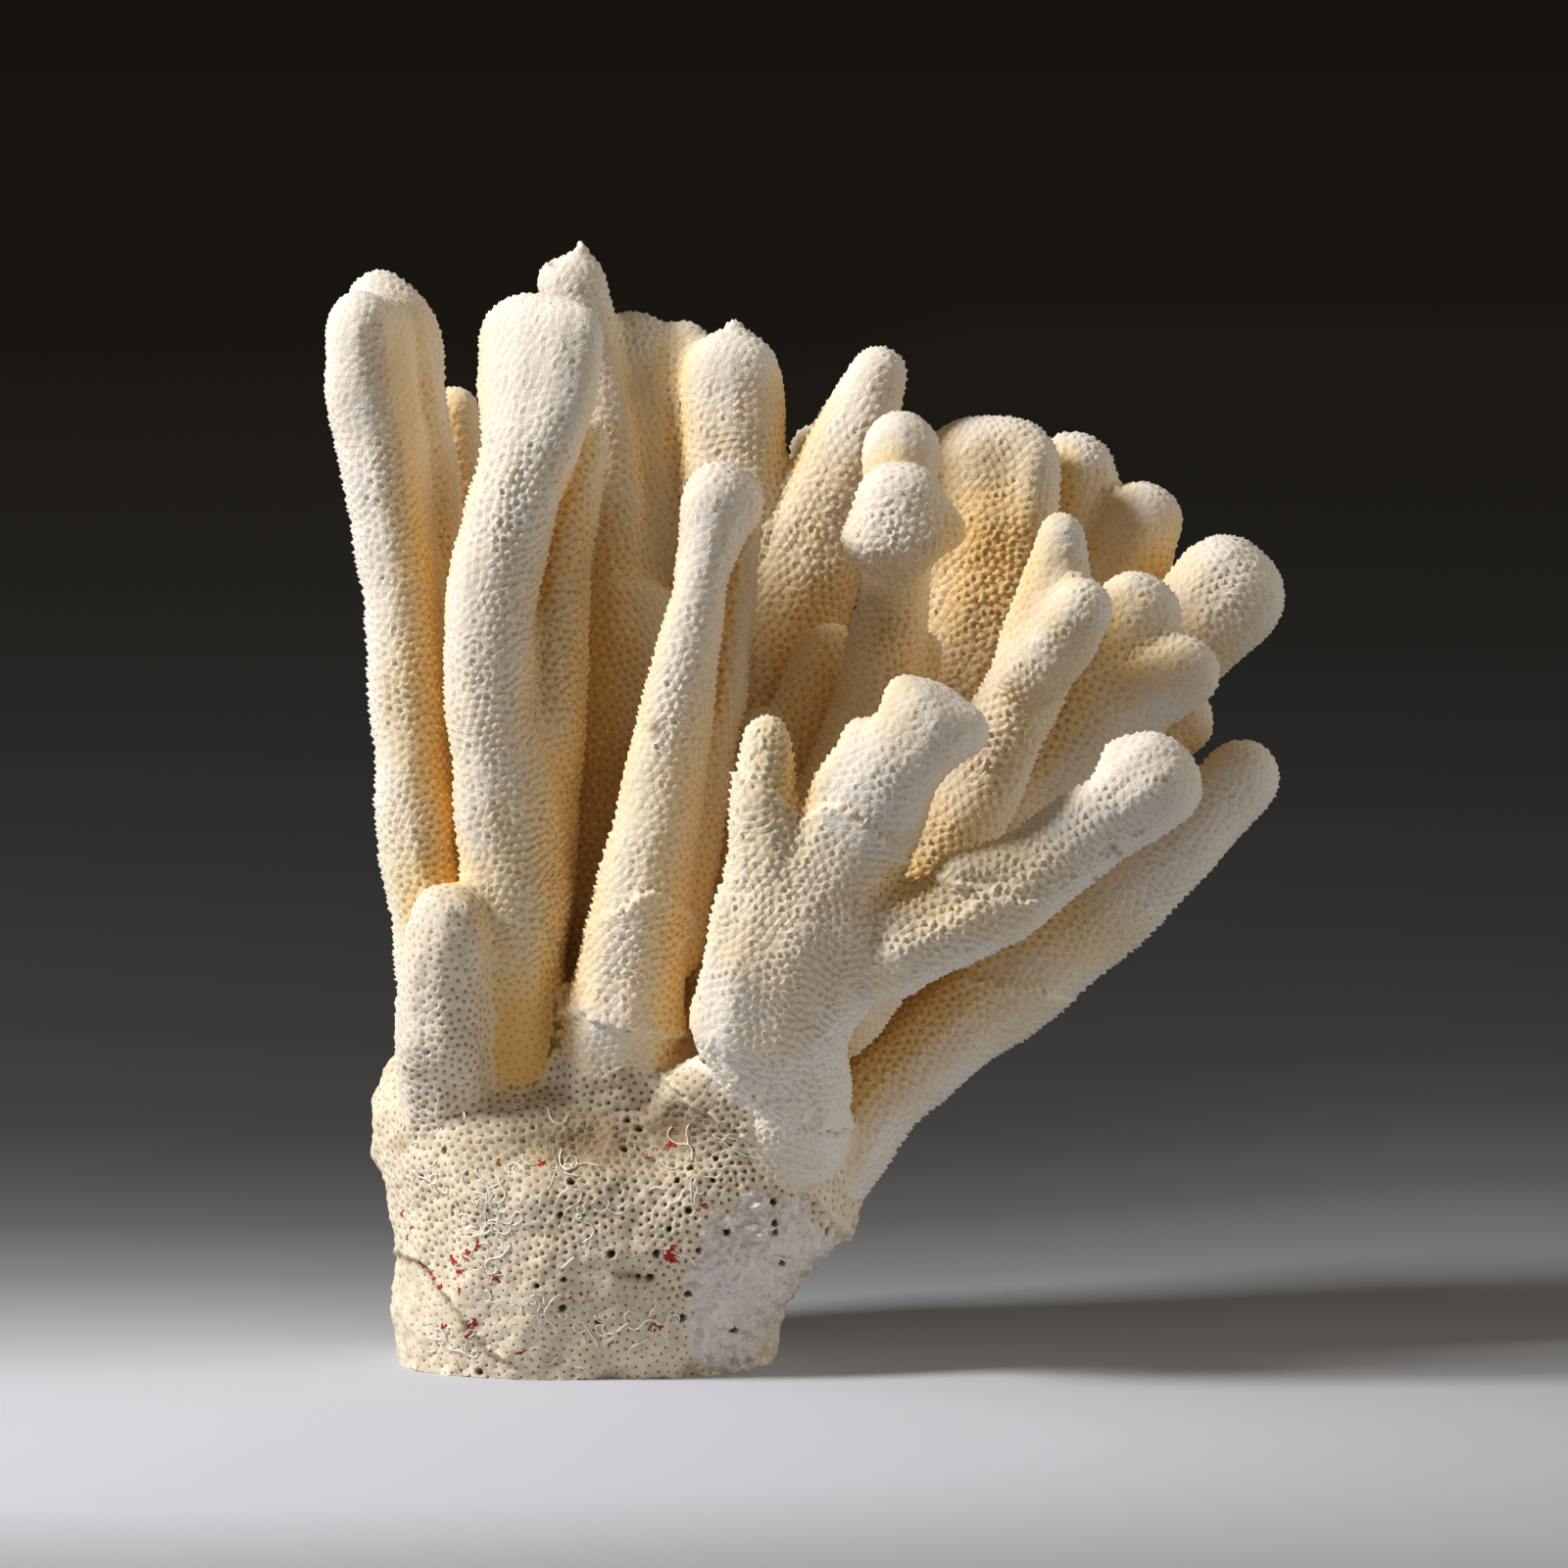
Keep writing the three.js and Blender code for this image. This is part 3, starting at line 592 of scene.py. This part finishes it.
# Painted shade: the amber places go only on front sides, and not on the front finger or the stub.
on_front = np.clip(FRONT_SHARE - towards_back, 0, 1) * ~np.isin(home, (front_finger, left_stub))
for across, up, wide, high, strength in painted_shade_places:
    shelter += strength * on_front * patch(site_places, across, up, wide, high)
# A fresh white layer runs over the upper foot below the hand.
fresh_line = [(-19.8, -43.1), (-12.1, -43.1), (-7.0, -47.0), (0.0, -50.4), (7.8, -54.2)]
fresh = np.exp(-((off_line(site_places, fresh_line) / FRESH_REACH) ** 2)) * (towards_back < 0)
fresh = fresh * (home != front_finger)
shelter = np.maximum(shelter - FRESH_PALING * fresh, 0)
worn = worn * (1 - FRESH_UNWORN * fresh)

# The fine skin. Every corallite is a small six-sided cup sunk into the skin, with a grain of
# skeleton like a hood over its upper lip. On the branches the hoods stand up as blunt spines; the
# foot is older and worn, so there the cups are plain pits with thin walls.
PIT_RADIUS = 0.53
PIT_DEPTH = 0.34
FOOT_PIT_DEPTH = 0.85
WIDEST_PIT = 0.45
HOOD_RISE = 0.47
WALL_RISE = 0.1
HOOD_LEAN = 0.45
GROWTH_JITTER = 0.12
CRUST_NARROWING = 0.5
WORN_NARROWING = 0.12
LOW_NARROWING = 0.3
CRUST_FILLING = 0.92
HOOD_WEAR = 0.8
TIP_FILLING = 0.55
TIP_FLATTENING = 0.3
LOW_LINE = -70.0
LOW_FADE = 8.0
LOW_FILLING = 0.45
FRESH_FILLING = 0.8
HOLLOW_SIZE = (6.0, 12.0)
VIGOUR = 0.95
VIGOUR_CHANGE = 0.4
VIGOUR_PITCH = 16.0
VIGOUR_LIMITS = (0.5, 1.35)
BORE_SIZES = (0.7, 1.1)
RIM_SIZES = (0.88, 1.12)
PIT_DEPTHS = (0.8, 1.15)
HOOD_SIZES = (0.65, 1.2)
SHELL_SPREAD = 0.85
RED_RISE = 0.18
LINE_WIDTH = 0.55
LINE_STRENGTH = 0.75
STANDING = 0.3
count = len(sites)
growth = unit(sites - HEART)
growth = growth - (growth * outward).sum(axis=1, keepdims=True) * outward
growth = unit(growth + chance.normal(0, GROWTH_JITTER, growth.shape))
middles = sites[net].mean(axis=1)
towards = unit(middles[:, None, :] - sites[net])
scores = (towards * growth[net]).sum(axis=2).ravel()
corner_site = net.ravel()
order = np.lexsort((scores, corner_site))
last = np.searchsorted(corner_site[order], np.arange(count), side="right") - 1
present = np.flatnonzero(np.bincount(corner_site, minlength=count))
hooded = np.zeros(len(net))
hooded[order[last[present]] // 3] = 1

# Every net triangle becomes nine: one at each corner down into a cup, and six up to its top.
pairs = np.concatenate((edges_of(net), edges_of(net)[:, ::-1]))
keys, rim_number = np.unique(pairs[:, 0].astype(np.int64) * count + pairs[:, 1], return_inverse=True)
rim_site, rim_other = keys // count, keys % count
rim_number = rim_number.reshape(6, len(net)) + count
ab, bc, ca, ba, cb, ac = rim_number
top = np.arange(len(net)) + count + len(keys)
a, b, c = net.T
skin_faces = np.stack((
    a, ab, ac, b, bc, ba, c, ca, cb,
    top, ab, ba, top, ba, bc, top, bc, cb, top, cb, ca, top, ca, ac, top, ac, ab,
), 1).reshape(-1, 9, 3)

rim_way = sites[rim_other] - sites[rim_site]
rim_gap = np.linalg.norm(rim_way, axis=1)
low_on_foot = (LOW_LINE - site_places[:, 1]) / LOW_FADE + wander(sites, 7.0, 12)
low_on_foot = np.clip(low_on_foot, 0, 1) * worn
wanted = PIT_RADIUS * (1 - CRUST_NARROWING * crusted)
wanted = wanted * (1 - WORN_NARROWING * worn - LOW_NARROWING * low_on_foot)
wanted = np.where(bored > 0.5, BORE_RADIUS * chance.uniform(*BORE_SIZES, count), wanted)
rim_radius = wanted[rim_site] * chance.uniform(*RIM_SIZES, len(keys))
rim_radius = np.minimum(rim_radius, WIDEST_PIT * rim_gap)
rims = sites[rim_site] + rim_way * (rim_radius / rim_gap)[:, None]
vigour = np.clip(VIGOUR + wander(sites, VIGOUR_PITCH, 7) * VIGOUR_CHANGE, *VIGOUR_LIMITS)
plain = bored < 0.5
pit_depth = PIT_DEPTH + (FOOT_PIT_DEPTH - PIT_DEPTH) * worn + BORE_DEPTH * bored
pit_depth = pit_depth * chance.uniform(*PIT_DEPTHS, count) * (1 - CRUST_FILLING * crusted * plain)
pit_depth = pit_depth * (worn + (1 - worn) * vigour) * (1 - LOW_FILLING * low_on_foot * plain)
hollow = patch(site_places, *HOLLOW, *HOLLOW_SIZE) * (home != base_number)
pit_depth = pit_depth * (1 - hollow) * (1 - FRESH_FILLING * fresh) * (1 - TIP_FILLING * tipness)
top_worn = worn[net].mean(axis=1)
hood = WALL_RISE + HOOD_RISE * hooded * chance.uniform(*HOOD_SIZES, len(net))
hood = hood * vigour[net].mean(axis=1)
hood = hood * (1 - HOOD_WEAR * top_worn)
hood = hood * (1 - crusted[net].mean(axis=1)) * (1 - hollow[net].mean(axis=1))
hood = hood * (1 - TIP_FLATTENING * tipness[net].mean(axis=1))
top_outward = unit(outward[net].sum(axis=1))
leaning = unit(top_outward + HOOD_LEAN * growth[net].mean(axis=1) * hooded[:, None])

skin = np.concatenate((
    sites - outward * pit_depth[:, None],
    rims,
    middles + leaning * hood[:, None],
))
skin_outward = np.concatenate((outward, outward[rim_site], top_outward))
skin_home = np.concatenate((home, home[rim_site], net_home))
marks = {
    "pit": np.concatenate((np.ones(count), np.zeros(len(keys) + len(net)))),
    "hood": np.concatenate((np.zeros(count + len(keys)), np.clip(hood / HOOD_RISE, 0, 1))),
    "shelter": np.concatenate((shelter, shelter[rim_site], shelter[net].mean(axis=1))),
    "worn": np.concatenate((worn, worn[rim_site], top_worn)),
    "bored": np.concatenate((bored, bored[rim_site] * 0.4, np.zeros(len(net)))),
    "crust": np.concatenate((crusted, crusted[rim_site], crusted[net].mean(axis=1))),
}
lift, marks["lip"] = layer_lift(skin, skin_outward, skin_home)
grain = wander(skin, 0.9, 9) * (0.04 + 0.12 * marks["worn"])
grain += wander(skin, 2.6, 15) * 0.3 * marks["worn"]
grain += wander(skin * (1, 1, 1.6), 1.4, 10) * 0.7 * marks["crust"]
red = np.zeros(len(skin))
for centre, size in shells:
    here = np.flatnonzero(np.abs(skin - centre).max(axis=1) < 2)
    gap = np.linalg.norm(skin[here] - centre, axis=1)
    frayed = wander(skin[here], 0.7, 11) * 0.45
    red[here] = np.maximum(red[here], np.clip(1.35 - gap / (SHELL_SPREAD * size) + frayed, 0, 1))
marks["red"] = red
stain = np.zeros(len(skin))
skin_places = seen_from_front(skin)
for across, up, reach, strength in stains:
    gap = np.linalg.norm(skin_places - (across, up), axis=1)
    stain = np.maximum(stain, strength * np.exp(-((gap / reach) ** 2)))
# Painted shadow: a darker brown on the front of the worn foot, where the stub shades it.
painted_shadow = np.zeros(len(skin))
for across, up, wide, high, strength in painted_shadow_places:
    painted_shadow = np.maximum(painted_shadow, strength * patch(skin_places, across, up, wide, high))
marks["painted_shadow"] = painted_shadow * marks["worn"] * (skin_outward @ view_ahead < 0)
for line in dirt_lines:
    gap = off_line(skin_places, line)
    stain = np.maximum(stain, LINE_STRENGTH * np.exp(-((gap / LINE_WIDTH) ** 2)))
marks["stain"] = stain * (skin_outward @ view_ahead < 0)
skin = skin + skin_outward * (lift + grain + red * RED_RISE)[:, None]
skin[:, 2] = np.maximum(skin[:, 2], 0)
standing = sites[net][:, :, 2].max(axis=1) > STANDING


def loops_of(borders):
    """Closed runs of corners along directed border edges."""
    onward = {}
    for start, end in borders.tolist():
        onward.setdefault(start, []).append(end)
    runs = []
    while onward:
        run = [next(iter(onward))]
        while run[-1] in onward:
            ways = onward[run[-1]]
            here = ways.pop()
            if not ways:
                del onward[run[-1]]
            if here == run[0]:
                break
            run.append(here)
        if len(run) > 2:
            runs.append(run)
    return runs


def border_edges(faces):
    """The directed edges of triangles that no other triangle shares."""
    edges = edges_of(faces).astype(np.int64)
    forth = edges[:, 0] * len(skin) + edges[:, 1]
    back = edges[:, 1] * len(skin) + edges[:, 0]
    return edges[~np.isin(forth, back)]


def lids_over(corners, faces):
    """Corners and faces of the lids over the open borders, where the piece meets the next ones."""
    rims, lids = [], []
    first = len(corners)
    for run in loops_of(border_edges(faces)):
        rim = corners[run]
        middle = first + len(rim)
        lids += [(first + (place + 1) % len(run), first + place, middle) for place in range(len(run))]
        rims += [rim, rim.mean(axis=0, keepdims=True)]
        first = middle + 1
    return np.concatenate([np.empty((0, 3)), *rims]), np.array(lids, int).reshape(-1, 3)


skin_normals = corner_normals(skin, skin_faces.reshape(-1, 3))


def skin_piece(branch):
    """One branch of the fine skin as an object with its marks, in place of the plain solid."""
    own = (net_home == branches.index(branch)) & standing
    used, faces = np.unique(skin_faces[own], return_inverse=True)
    faces = faces.reshape(-1, 3)
    lid_corners, lids = lids_over(skin[used], faces)
    all_corners = np.concatenate((skin[used], lid_corners))
    piece = new_mesh(branch + "_skin", all_corners, np.concatenate((faces, lids)))
    piece.data.shade_smooth()
    inward = np.tile(unit(HEART - skin[used].mean(axis=0)), (len(lid_corners), 1))
    normals = np.concatenate((skin_normals[used], inward))
    piece.data.normals_split_custom_set_from_vertices(normals.tolist())
    for mark, values in marks.items():
        layer = piece.data.attributes.new(mark, "FLOAT", "POINT")
        spare = np.full(len(lid_corners), float(values[used].mean()))
        layer.data.foreach_set("value", np.concatenate((values[used], spare)).astype(np.float32))
    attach(piece, "root")
    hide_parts(branch)
    return piece


pieces = {branch: skin_piece(branch) for branch in branches}

# Worm tubes. Small worms laid thin white tubes of lime over the old foot, curling at random and
# cemented down. Most lie in tangles, given by their places in the front view.
TUBE_RADIUS = 0.12
TUBE_STEP = 0.5
TUBE_STEPS = (6, 22)
TANGLE_SPREAD = 2.2
STRAY_TUBES = 60
# Each tangle is across, up and its number of tubes.
tangles = [
    (-46.5, -68.2, 14), (-60.3, -60.6, 7), (-37.0, -60.5, 8), (-51.0, -71.5, 7), (-40.0, -84.0, 9),
    (-24.0, -85.0, 9), (-46.5, -83.5, 7), (-16.0, -63.5, 5), (-11.5, -54.5, 5), (-37.0, -88.0, 7),
    (-52.0, -90.0, 6), (-30.0, -66.0, 5),
]


def on_skin(point):
    """The nearest place of the skin and the way out of it there."""
    return [np.array(part) for part in skin_tree.find_nearest(Vector(point))[:2]]


def worm_course(start, steps):
    """A curling line that keeps to the skin, with the way out of the skin at each step."""
    place, facing = on_skin(start)
    way = unit(np.cross(facing, chance.normal(size=3)))
    bend, course = chance.normal(0, 0.3), []
    for _ in range(steps):
        laid = place + facing * chance.uniform(0.02, 0.16)
        laid[2] = max(laid[2], TUBE_RADIUS)
        course.append((laid, facing))
        bend = 0.8 * bend + chance.normal(0, 0.25)
        way = way * math.cos(bend) + np.cross(facing, way) * math.sin(bend)
        place, facing = on_skin(place + way * TUBE_STEP)
        way = unit(way - (way @ facing) * facing)
    return course


def tube_mesh(course, first):
    """Corners and faces of a four-sided tube along a course, its ends closed."""
    middles, facings = [np.array(part) for part in zip(*course)]
    ways = unit(np.gradient(middles, axis=0))
    sides = np.cross(ways, facings)
    radius = TUBE_RADIUS * chance.uniform(0.7, 1.3)
    ring = np.stack((sides, facings, -sides, -facings), 1) * radius + middles[:, None]
    faces = []
    for start in range(first, first + 4 * len(course) - 4, 4):
        for side, other in ((0, 1), (1, 2), (2, 3), (3, 0)):
            faces.append((start + side, start + other, start + 4 + other, start + 4 + side))
    last = first + 4 * len(course) - 4
    ends = [(first + 3, first + 2, first + 1, first), (last, last + 1, last + 2, last + 3)]
    return ring.reshape(-1, 3), faces + ends


starts = []
for across, up, number in tangles:
    for _ in range(number):
        hit = behind_view(across + chance.normal(0, TANGLE_SPREAD), up + chance.normal(0, TANGLE_SPREAD))
        starts += [hit] if hit else []
starts += sites[chance.choice(np.flatnonzero(on_foot), STRAY_TUBES, replace=False)].tolist()
tube_corners, tube_faces = [], []
for start in starts:
    course = worm_course(start, int(chance.integers(*TUBE_STEPS)))
    ring, faces = tube_mesh(course, sum(map(len, tube_corners)))
    tube_corners.append(ring)
    tube_faces += faces
tubes = new_mesh("worm_tubes", np.concatenate(tube_corners), tube_faces)
tubes.data.shade_smooth()
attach(tubes, "root")

# The finishes. Bleached lime is chalky and matt: white on the spines and outer sides, cream on
# the walls and amber in the pits and sheltered places. That amber is partly painted shade, the warm
# glow of light inside the cups and between the branches. The foot is duller, its pits are brown and
# darkened as painted shade, its upper front carries a painted shadow, and its crust is a colder white.
WHITE = (0.82, 0.78, 0.73)
CREAM = (0.80, 0.67, 0.47)
AMBER = (0.85, 0.62, 0.31)
DEEP_AMBER = (0.82, 0.50, 0.14)
TIP_CREAM = (0.92, 0.81, 0.60)
PIT_CREAM = (0.80, 0.67, 0.47)
PIT_AMBER = (0.62, 0.36, 0.10)
FOOT_WALL = (0.70, 0.60, 0.45)
FOOT_PALE = (0.82, 0.74, 0.61)
FOOT_BROWN = (0.46, 0.36, 0.21)
# The brown of the painted shadow on the foot.
FOOT_PAINTED_SHADOW = (0.27, 0.20, 0.125)
FOOT_PIT = (0.44, 0.32, 0.14)
BORE_BROWN = (0.17, 0.10, 0.035)
CRUST_WHITE = (0.77, 0.70, 0.65)
SHELL_RED = (0.36, 0.03, 0.022)
STAIN_BROWN = (0.18, 0.09, 0.025)
TUBE_WHITE = (0.90, 0.86, 0.78)
CHALK_ROUGHNESS = 0.88
CHALK_SHINE = 0.2
GRAIN_STRENGTH = 0.6
GRAIN_HEIGHT = 0.12
CRUST_RIPPLE = 5.0


class Finish:
    """A material whose nodes are added one after another."""

    def __init__(self, name):
        self.material = bpy.data.materials.new(name)
        self.material.use_nodes = True
        self.nodes = self.material.node_tree.nodes
        self.links = self.material.node_tree.links
        self.shader = self.nodes["Principled BSDF"]
        self.place = self.nodes.new("ShaderNodeTexCoord").outputs["Object"]

    def mark(self, name):
        """One of the marks that the skin carries at each point."""
        node = self.nodes.new("ShaderNodeAttribute")
        node.attribute_name = name
        return node.outputs["Fac"]

    def speckle(self, per_mm, detail=2.0, low=0.35, high=0.65):
        """Cloudy noise from 0 to 1, with that many turns to a millimetre."""
        node = self.nodes.new("ShaderNodeTexNoise")
        node.inputs["Scale"].default_value = per_mm / MM
        node.inputs["Detail"].default_value = detail
        self.links.new(self.place, node.inputs["Vector"])
        return self.ramp(node.outputs["Fac"], low, high)

    def ramp(self, value, low, high, start=0.0, end=1.0):
        """The value taken from low..high to start..end with a soft step."""
        node = self.nodes.new("ShaderNodeMapRange")
        node.interpolation_type = "SMOOTHSTEP"
        for socket, number in zip(("From Min", "From Max", "To Min", "To Max"), (low, high, start, end)):
            node.inputs[socket].default_value = number
        self.links.new(value, node.inputs["Value"])
        return node.outputs["Result"]

    def combine(self, operation, first, second):
        """Two values, or a value and a number, added, multiplied and so on."""
        node = self.nodes.new("ShaderNodeMath")
        node.operation = operation
        for socket, value in zip(node.inputs, (first, second)):
            if isinstance(value, (int, float)):
                socket.default_value = value
            else:
                self.links.new(value, socket)
        return node.outputs[0]

    def blend(self, share, first, second):
        """The second colour over the first by a share."""
        node = self.nodes.new("ShaderNodeMix")
        node.data_type = "RGBA"
        for socket, value in zip((node.inputs[0], node.inputs[6], node.inputs[7]), (share, first, second)):
            if isinstance(value, tuple):
                socket.default_value = (*value, 1)
            else:
                self.links.new(value, socket)
        return node.outputs[2]


def coral_finish(name):
    """The chalky lime of the whole colony, from fresh white spines to the worn foot."""
    finish = Finish(name)
    pit = finish.mark("pit")
    cloud = finish.ramp(finish.speckle(0.07, 3, 0.3, 0.7), 0, 1, -0.04, 0.04)
    shade = finish.combine("ADD", finish.mark("shelter"), cloud)
    amber = finish.ramp(shade, 0.14, 0.42)
    lime = finish.blend(finish.ramp(shade, 0.0, 0.18), WHITE, CREAM)
    lime = finish.blend(amber, lime, AMBER)
    lime = finish.blend(finish.ramp(shade, 0.35, 0.75), lime, DEEP_AMBER)
    lime = finish.blend(finish.combine("MULTIPLY", finish.speckle(1.6, 3, 0.3, 0.75), 0.2), lime, CREAM)
    # Pits: cream to amber by the shade around them, partly painted shade inside the cups.
    hollow = finish.blend(finish.ramp(shade, 0.08, 0.45), PIT_CREAM, PIT_AMBER)
    lime = finish.blend(finish.ramp(pit, 0.1, 0.6, 0, 0.9), lime, hollow)
    tip = finish.blend(amber, WHITE, TIP_CREAM)
    lime = finish.blend(finish.ramp(finish.mark("hood"), 0.15, 0.7, 0, 0.95), lime, tip)
    foot = finish.blend(finish.speckle(0.5, 4, 0.3, 0.7), FOOT_WALL, FOOT_PALE)
    foot = finish.blend(finish.combine("MULTIPLY", finish.speckle(0.16, 4, 0.55, 0.8), 0.5), foot, FOOT_BROWN)
    # Painted shadow on the foot.
    foot = finish.blend(finish.mark("painted_shadow"), foot, FOOT_PAINTED_SHADOW)
    # The foot's pits are a darker brown, partly painted shade inside the cups.
    foot = finish.blend(finish.ramp(pit, 0.06, 0.4), foot, FOOT_PIT)
    foot = finish.blend(finish.ramp(finish.mark("bored"), 0.2, 0.6), foot, BORE_BROWN)
    lime = finish.blend(finish.ramp(finish.mark("worn"), 0.25, 0.8), lime, foot)
    lime = finish.blend(finish.combine("MULTIPLY", finish.mark("lip"), 0.6), lime, TIP_CREAM)
    crust = finish.combine("SUBTRACT", finish.mark("crust"), finish.ramp(finish.mark("bored"), 0.2, 0.5))
    lime = finish.blend(finish.ramp(crust, 0.3, 0.6), lime, CRUST_WHITE)
    lime = finish.blend(finish.combine("MULTIPLY", finish.mark("stain"), 0.85), lime, STAIN_BROWN)
    frayed = finish.ramp(finish.speckle(1.5, 3, 0.3, 0.7), 0, 1, -0.3, 0.3)
    red = finish.combine("ADD", finish.mark("red"), frayed)
    lime = finish.blend(finish.ramp(red, 0.4, 0.5), lime, SHELL_RED)
    finish.links.new(lime, finish.shader.inputs["Base Color"])
    bump = finish.nodes.new("ShaderNodeBump")
    bump.inputs["Strength"].default_value = GRAIN_STRENGTH
    bump.inputs["Distance"].default_value = GRAIN_HEIGHT * MM
    rough = finish.speckle(3.2, 4, 0.2, 0.8)
    crust_share = finish.combine("MULTIPLY", crust, CRUST_RIPPLE)
    ripple = finish.combine("MULTIPLY", finish.speckle(0.7, 2, 0.3, 0.7), crust_share)
    finish.links.new(finish.combine("ADD", rough, ripple), bump.inputs["Height"])
    finish.links.new(bump.outputs["Normal"], finish.shader.inputs["Normal"])
    finish.shader.inputs["Roughness"].default_value = CHALK_ROUGHNESS
    finish.shader.inputs["Specular IOR Level"].default_value = CHALK_SHINE
    return finish.material


bleached_skeleton = coral_finish("bleached_skeleton")
for branch, piece in pieces.items():
    piece.data.materials.append(bleached_skeleton)
tube_lime = Finish("tube_lime")
tube_lime.shader.inputs["Base Color"].default_value = (*TUBE_WHITE, 1)
tube_lime.shader.inputs["Roughness"].default_value = CHALK_ROUGHNESS
tubes.data.materials.append(tube_lime.material)

# The floor is painted with a pool of light: pale under and before the coral, lighter towards the
# right, and falling away into the dark behind it, where its rim stands up before the horizon. A soft
# lamp stands high on the left, weaker ones at the front and low on the right, and warm light comes
# back from all sides. Sizes here are in metres.
FLOOR_RADIUS = 30.0
FLOOR_RIM = 0.5
FLOOR_SIDES = 64
FLOOR_MIDDLE = (0.03, 0.08, 0.0)
FLOOR_STRETCH = (0.55, 1.0, 1.0)
FLOOR_TINT = (-0.05, 0.0, 0.12)
RIGHT_SIDE = 0.18
RIGHT_SIDE_REACH = 0.72
# The painted light of the floor: its tone by the distance from the middle of the pool.
floor_tones = [
    (0.0, 0.58), (0.06, 0.57), (0.12, 0.36), (0.17, 0.22), (0.235, 0.12), (0.3, 0.08), (0.37, 0.06),
    (0.54, 0.052), (1.0, 0.053), (2.0, 0.066), (3.1, 0.08), (4.0, 0.071),
]
floor_end = floor_tones[-1][0]
floor_mesh = bpy.data.meshes.new("floor")
floor_turns = [turn * math.tau / FLOOR_SIDES for turn in range(FLOOR_SIDES)]
floor_ring = [
    (out * math.cos(turn), out * math.sin(turn), up)
    for out, up in ((FLOOR_RADIUS, 0), (FLOOR_RADIUS + 1, FLOOR_RIM)) for turn in floor_turns
]
floor_faces = [list(range(FLOOR_SIDES))]
for turn in range(FLOOR_SIDES):
    after = (turn + 1) % FLOOR_SIDES
    floor_faces.append((turn, after, after + FLOOR_SIDES, turn + FLOOR_SIDES))
floor_mesh.from_pydata(floor_ring, [], floor_faces)
floor = bpy.data.objects.new("floor", floor_mesh)
bpy.context.scene.collection.objects.link(floor)
paper = Finish("floor_paper")
placed = paper.nodes.new("ShaderNodeVectorMath")
placed.operation = "MULTIPLY_ADD"
placed.inputs[1].default_value = FLOOR_STRETCH
placed.inputs[2].default_value = FLOOR_MIDDLE
distance = paper.nodes.new("ShaderNodeVectorMath")
distance.operation = "LENGTH"
painted_light_falloff = paper.nodes.new("ShaderNodeValToRGB")
paper.links.new(paper.place, placed.inputs[0])
paper.links.new(placed.outputs[0], distance.inputs[0])
# The painted pool of light reaches further on the right side.
sideways = paper.nodes.new("ShaderNodeSeparateXYZ")
paper.links.new(paper.place, sideways.inputs[0])
nearer = paper.ramp(sideways.outputs["X"], 0.0, RIGHT_SIDE, 1 / floor_end, RIGHT_SIDE_REACH / floor_end)
share = paper.combine("MULTIPLY", distance.outputs["Value"], nearer)
paper.links.new(share, painted_light_falloff.inputs["Fac"])
while len(painted_light_falloff.color_ramp.elements) < len(floor_tones):
    painted_light_falloff.color_ramp.elements.new(1.0)
for stop, (reach, tone) in zip(painted_light_falloff.color_ramp.elements, floor_tones):
    stop.position = reach / floor_end
    cool = min(1, tone * 2)
    stop.color = (*[tone * (1 + tint * cool) for tint in FLOOR_TINT], 1)
paper.links.new(painted_light_falloff.outputs["Color"], paper.shader.inputs["Base Color"])
paper.shader.inputs["Roughness"].default_value = 1.0
paper.shader.inputs["Specular IOR Level"].default_value = 0.0
floor_mesh.materials.append(paper.material)


def soft_lamp(name, azimuth, height, distance, size, power, colour):
    """A square soft lamp aimed at the middle of the coral. Azimuth 0 is the front, 90 the right."""
    light = bpy.data.lights.new(name, "AREA")
    light.size = size
    light.energy = power
    light.color = colour
    lamp = bpy.data.objects.new(name, light)
    bpy.context.scene.collection.objects.link(lamp)
    turn, rise = math.radians(azimuth), math.radians(height)
    way = Vector((math.sin(turn) * math.cos(rise), -math.cos(turn) * math.cos(rise), math.sin(rise)))
    lamp.location = Vector(VIEW_CENTRE * MM) + way * distance
    lamp.rotation_euler = way.to_track_quat("Z", "Y").to_euler()


# Each lamp: azimuth, height in degrees, distance, size, power and colour.
lamps = {
    "key": (-73, 38, 1.4, 0.3, 26.5, (1.0, 0.98, 0.95)),
    "fill": (10, 22, 1.8, 1.4, 1.6, (1.0, 0.87, 0.70)),
    "side": (88, 17, 1.8, 1.0, 9.0, (1.0, 0.97, 0.92)),
}
for name, settings in lamps.items():
    soft_lamp(name, *settings)
WARM_LIGHT = (1.0, 0.79, 0.54)
WARM_STRENGTH = 0.13
world = bpy.data.worlds.new("studio_warm")
world.use_nodes = True
world.node_tree.nodes["Background"].inputs["Color"].default_value = (*WARM_LIGHT, 1)
world.node_tree.nodes["Background"].inputs["Strength"].default_value = WARM_STRENGTH
bpy.context.scene.world = world
bpy.context.scene.view_settings.view_transform = "Standard"

# The camera stands 1.4 m away at the front, 5 degrees above level.
CAMERA_SIGHT = 50.0
camera_data = bpy.data.cameras.new("camera")
camera_data.angle = 2 * math.atan(VIEW_WIDTH / 2 / VIEW_DISTANCE)
camera_data.clip_end = CAMERA_SIGHT
camera = bpy.data.objects.new("camera", camera_data)
bpy.context.scene.collection.objects.link(camera)
camera.location = Vector((VIEW_CENTRE - VIEW_DISTANCE * view_ahead) * MM)
camera.rotation_euler = (math.radians(90) - VIEW_DROP, 0, 0)
bpy.context.scene.camera = camera
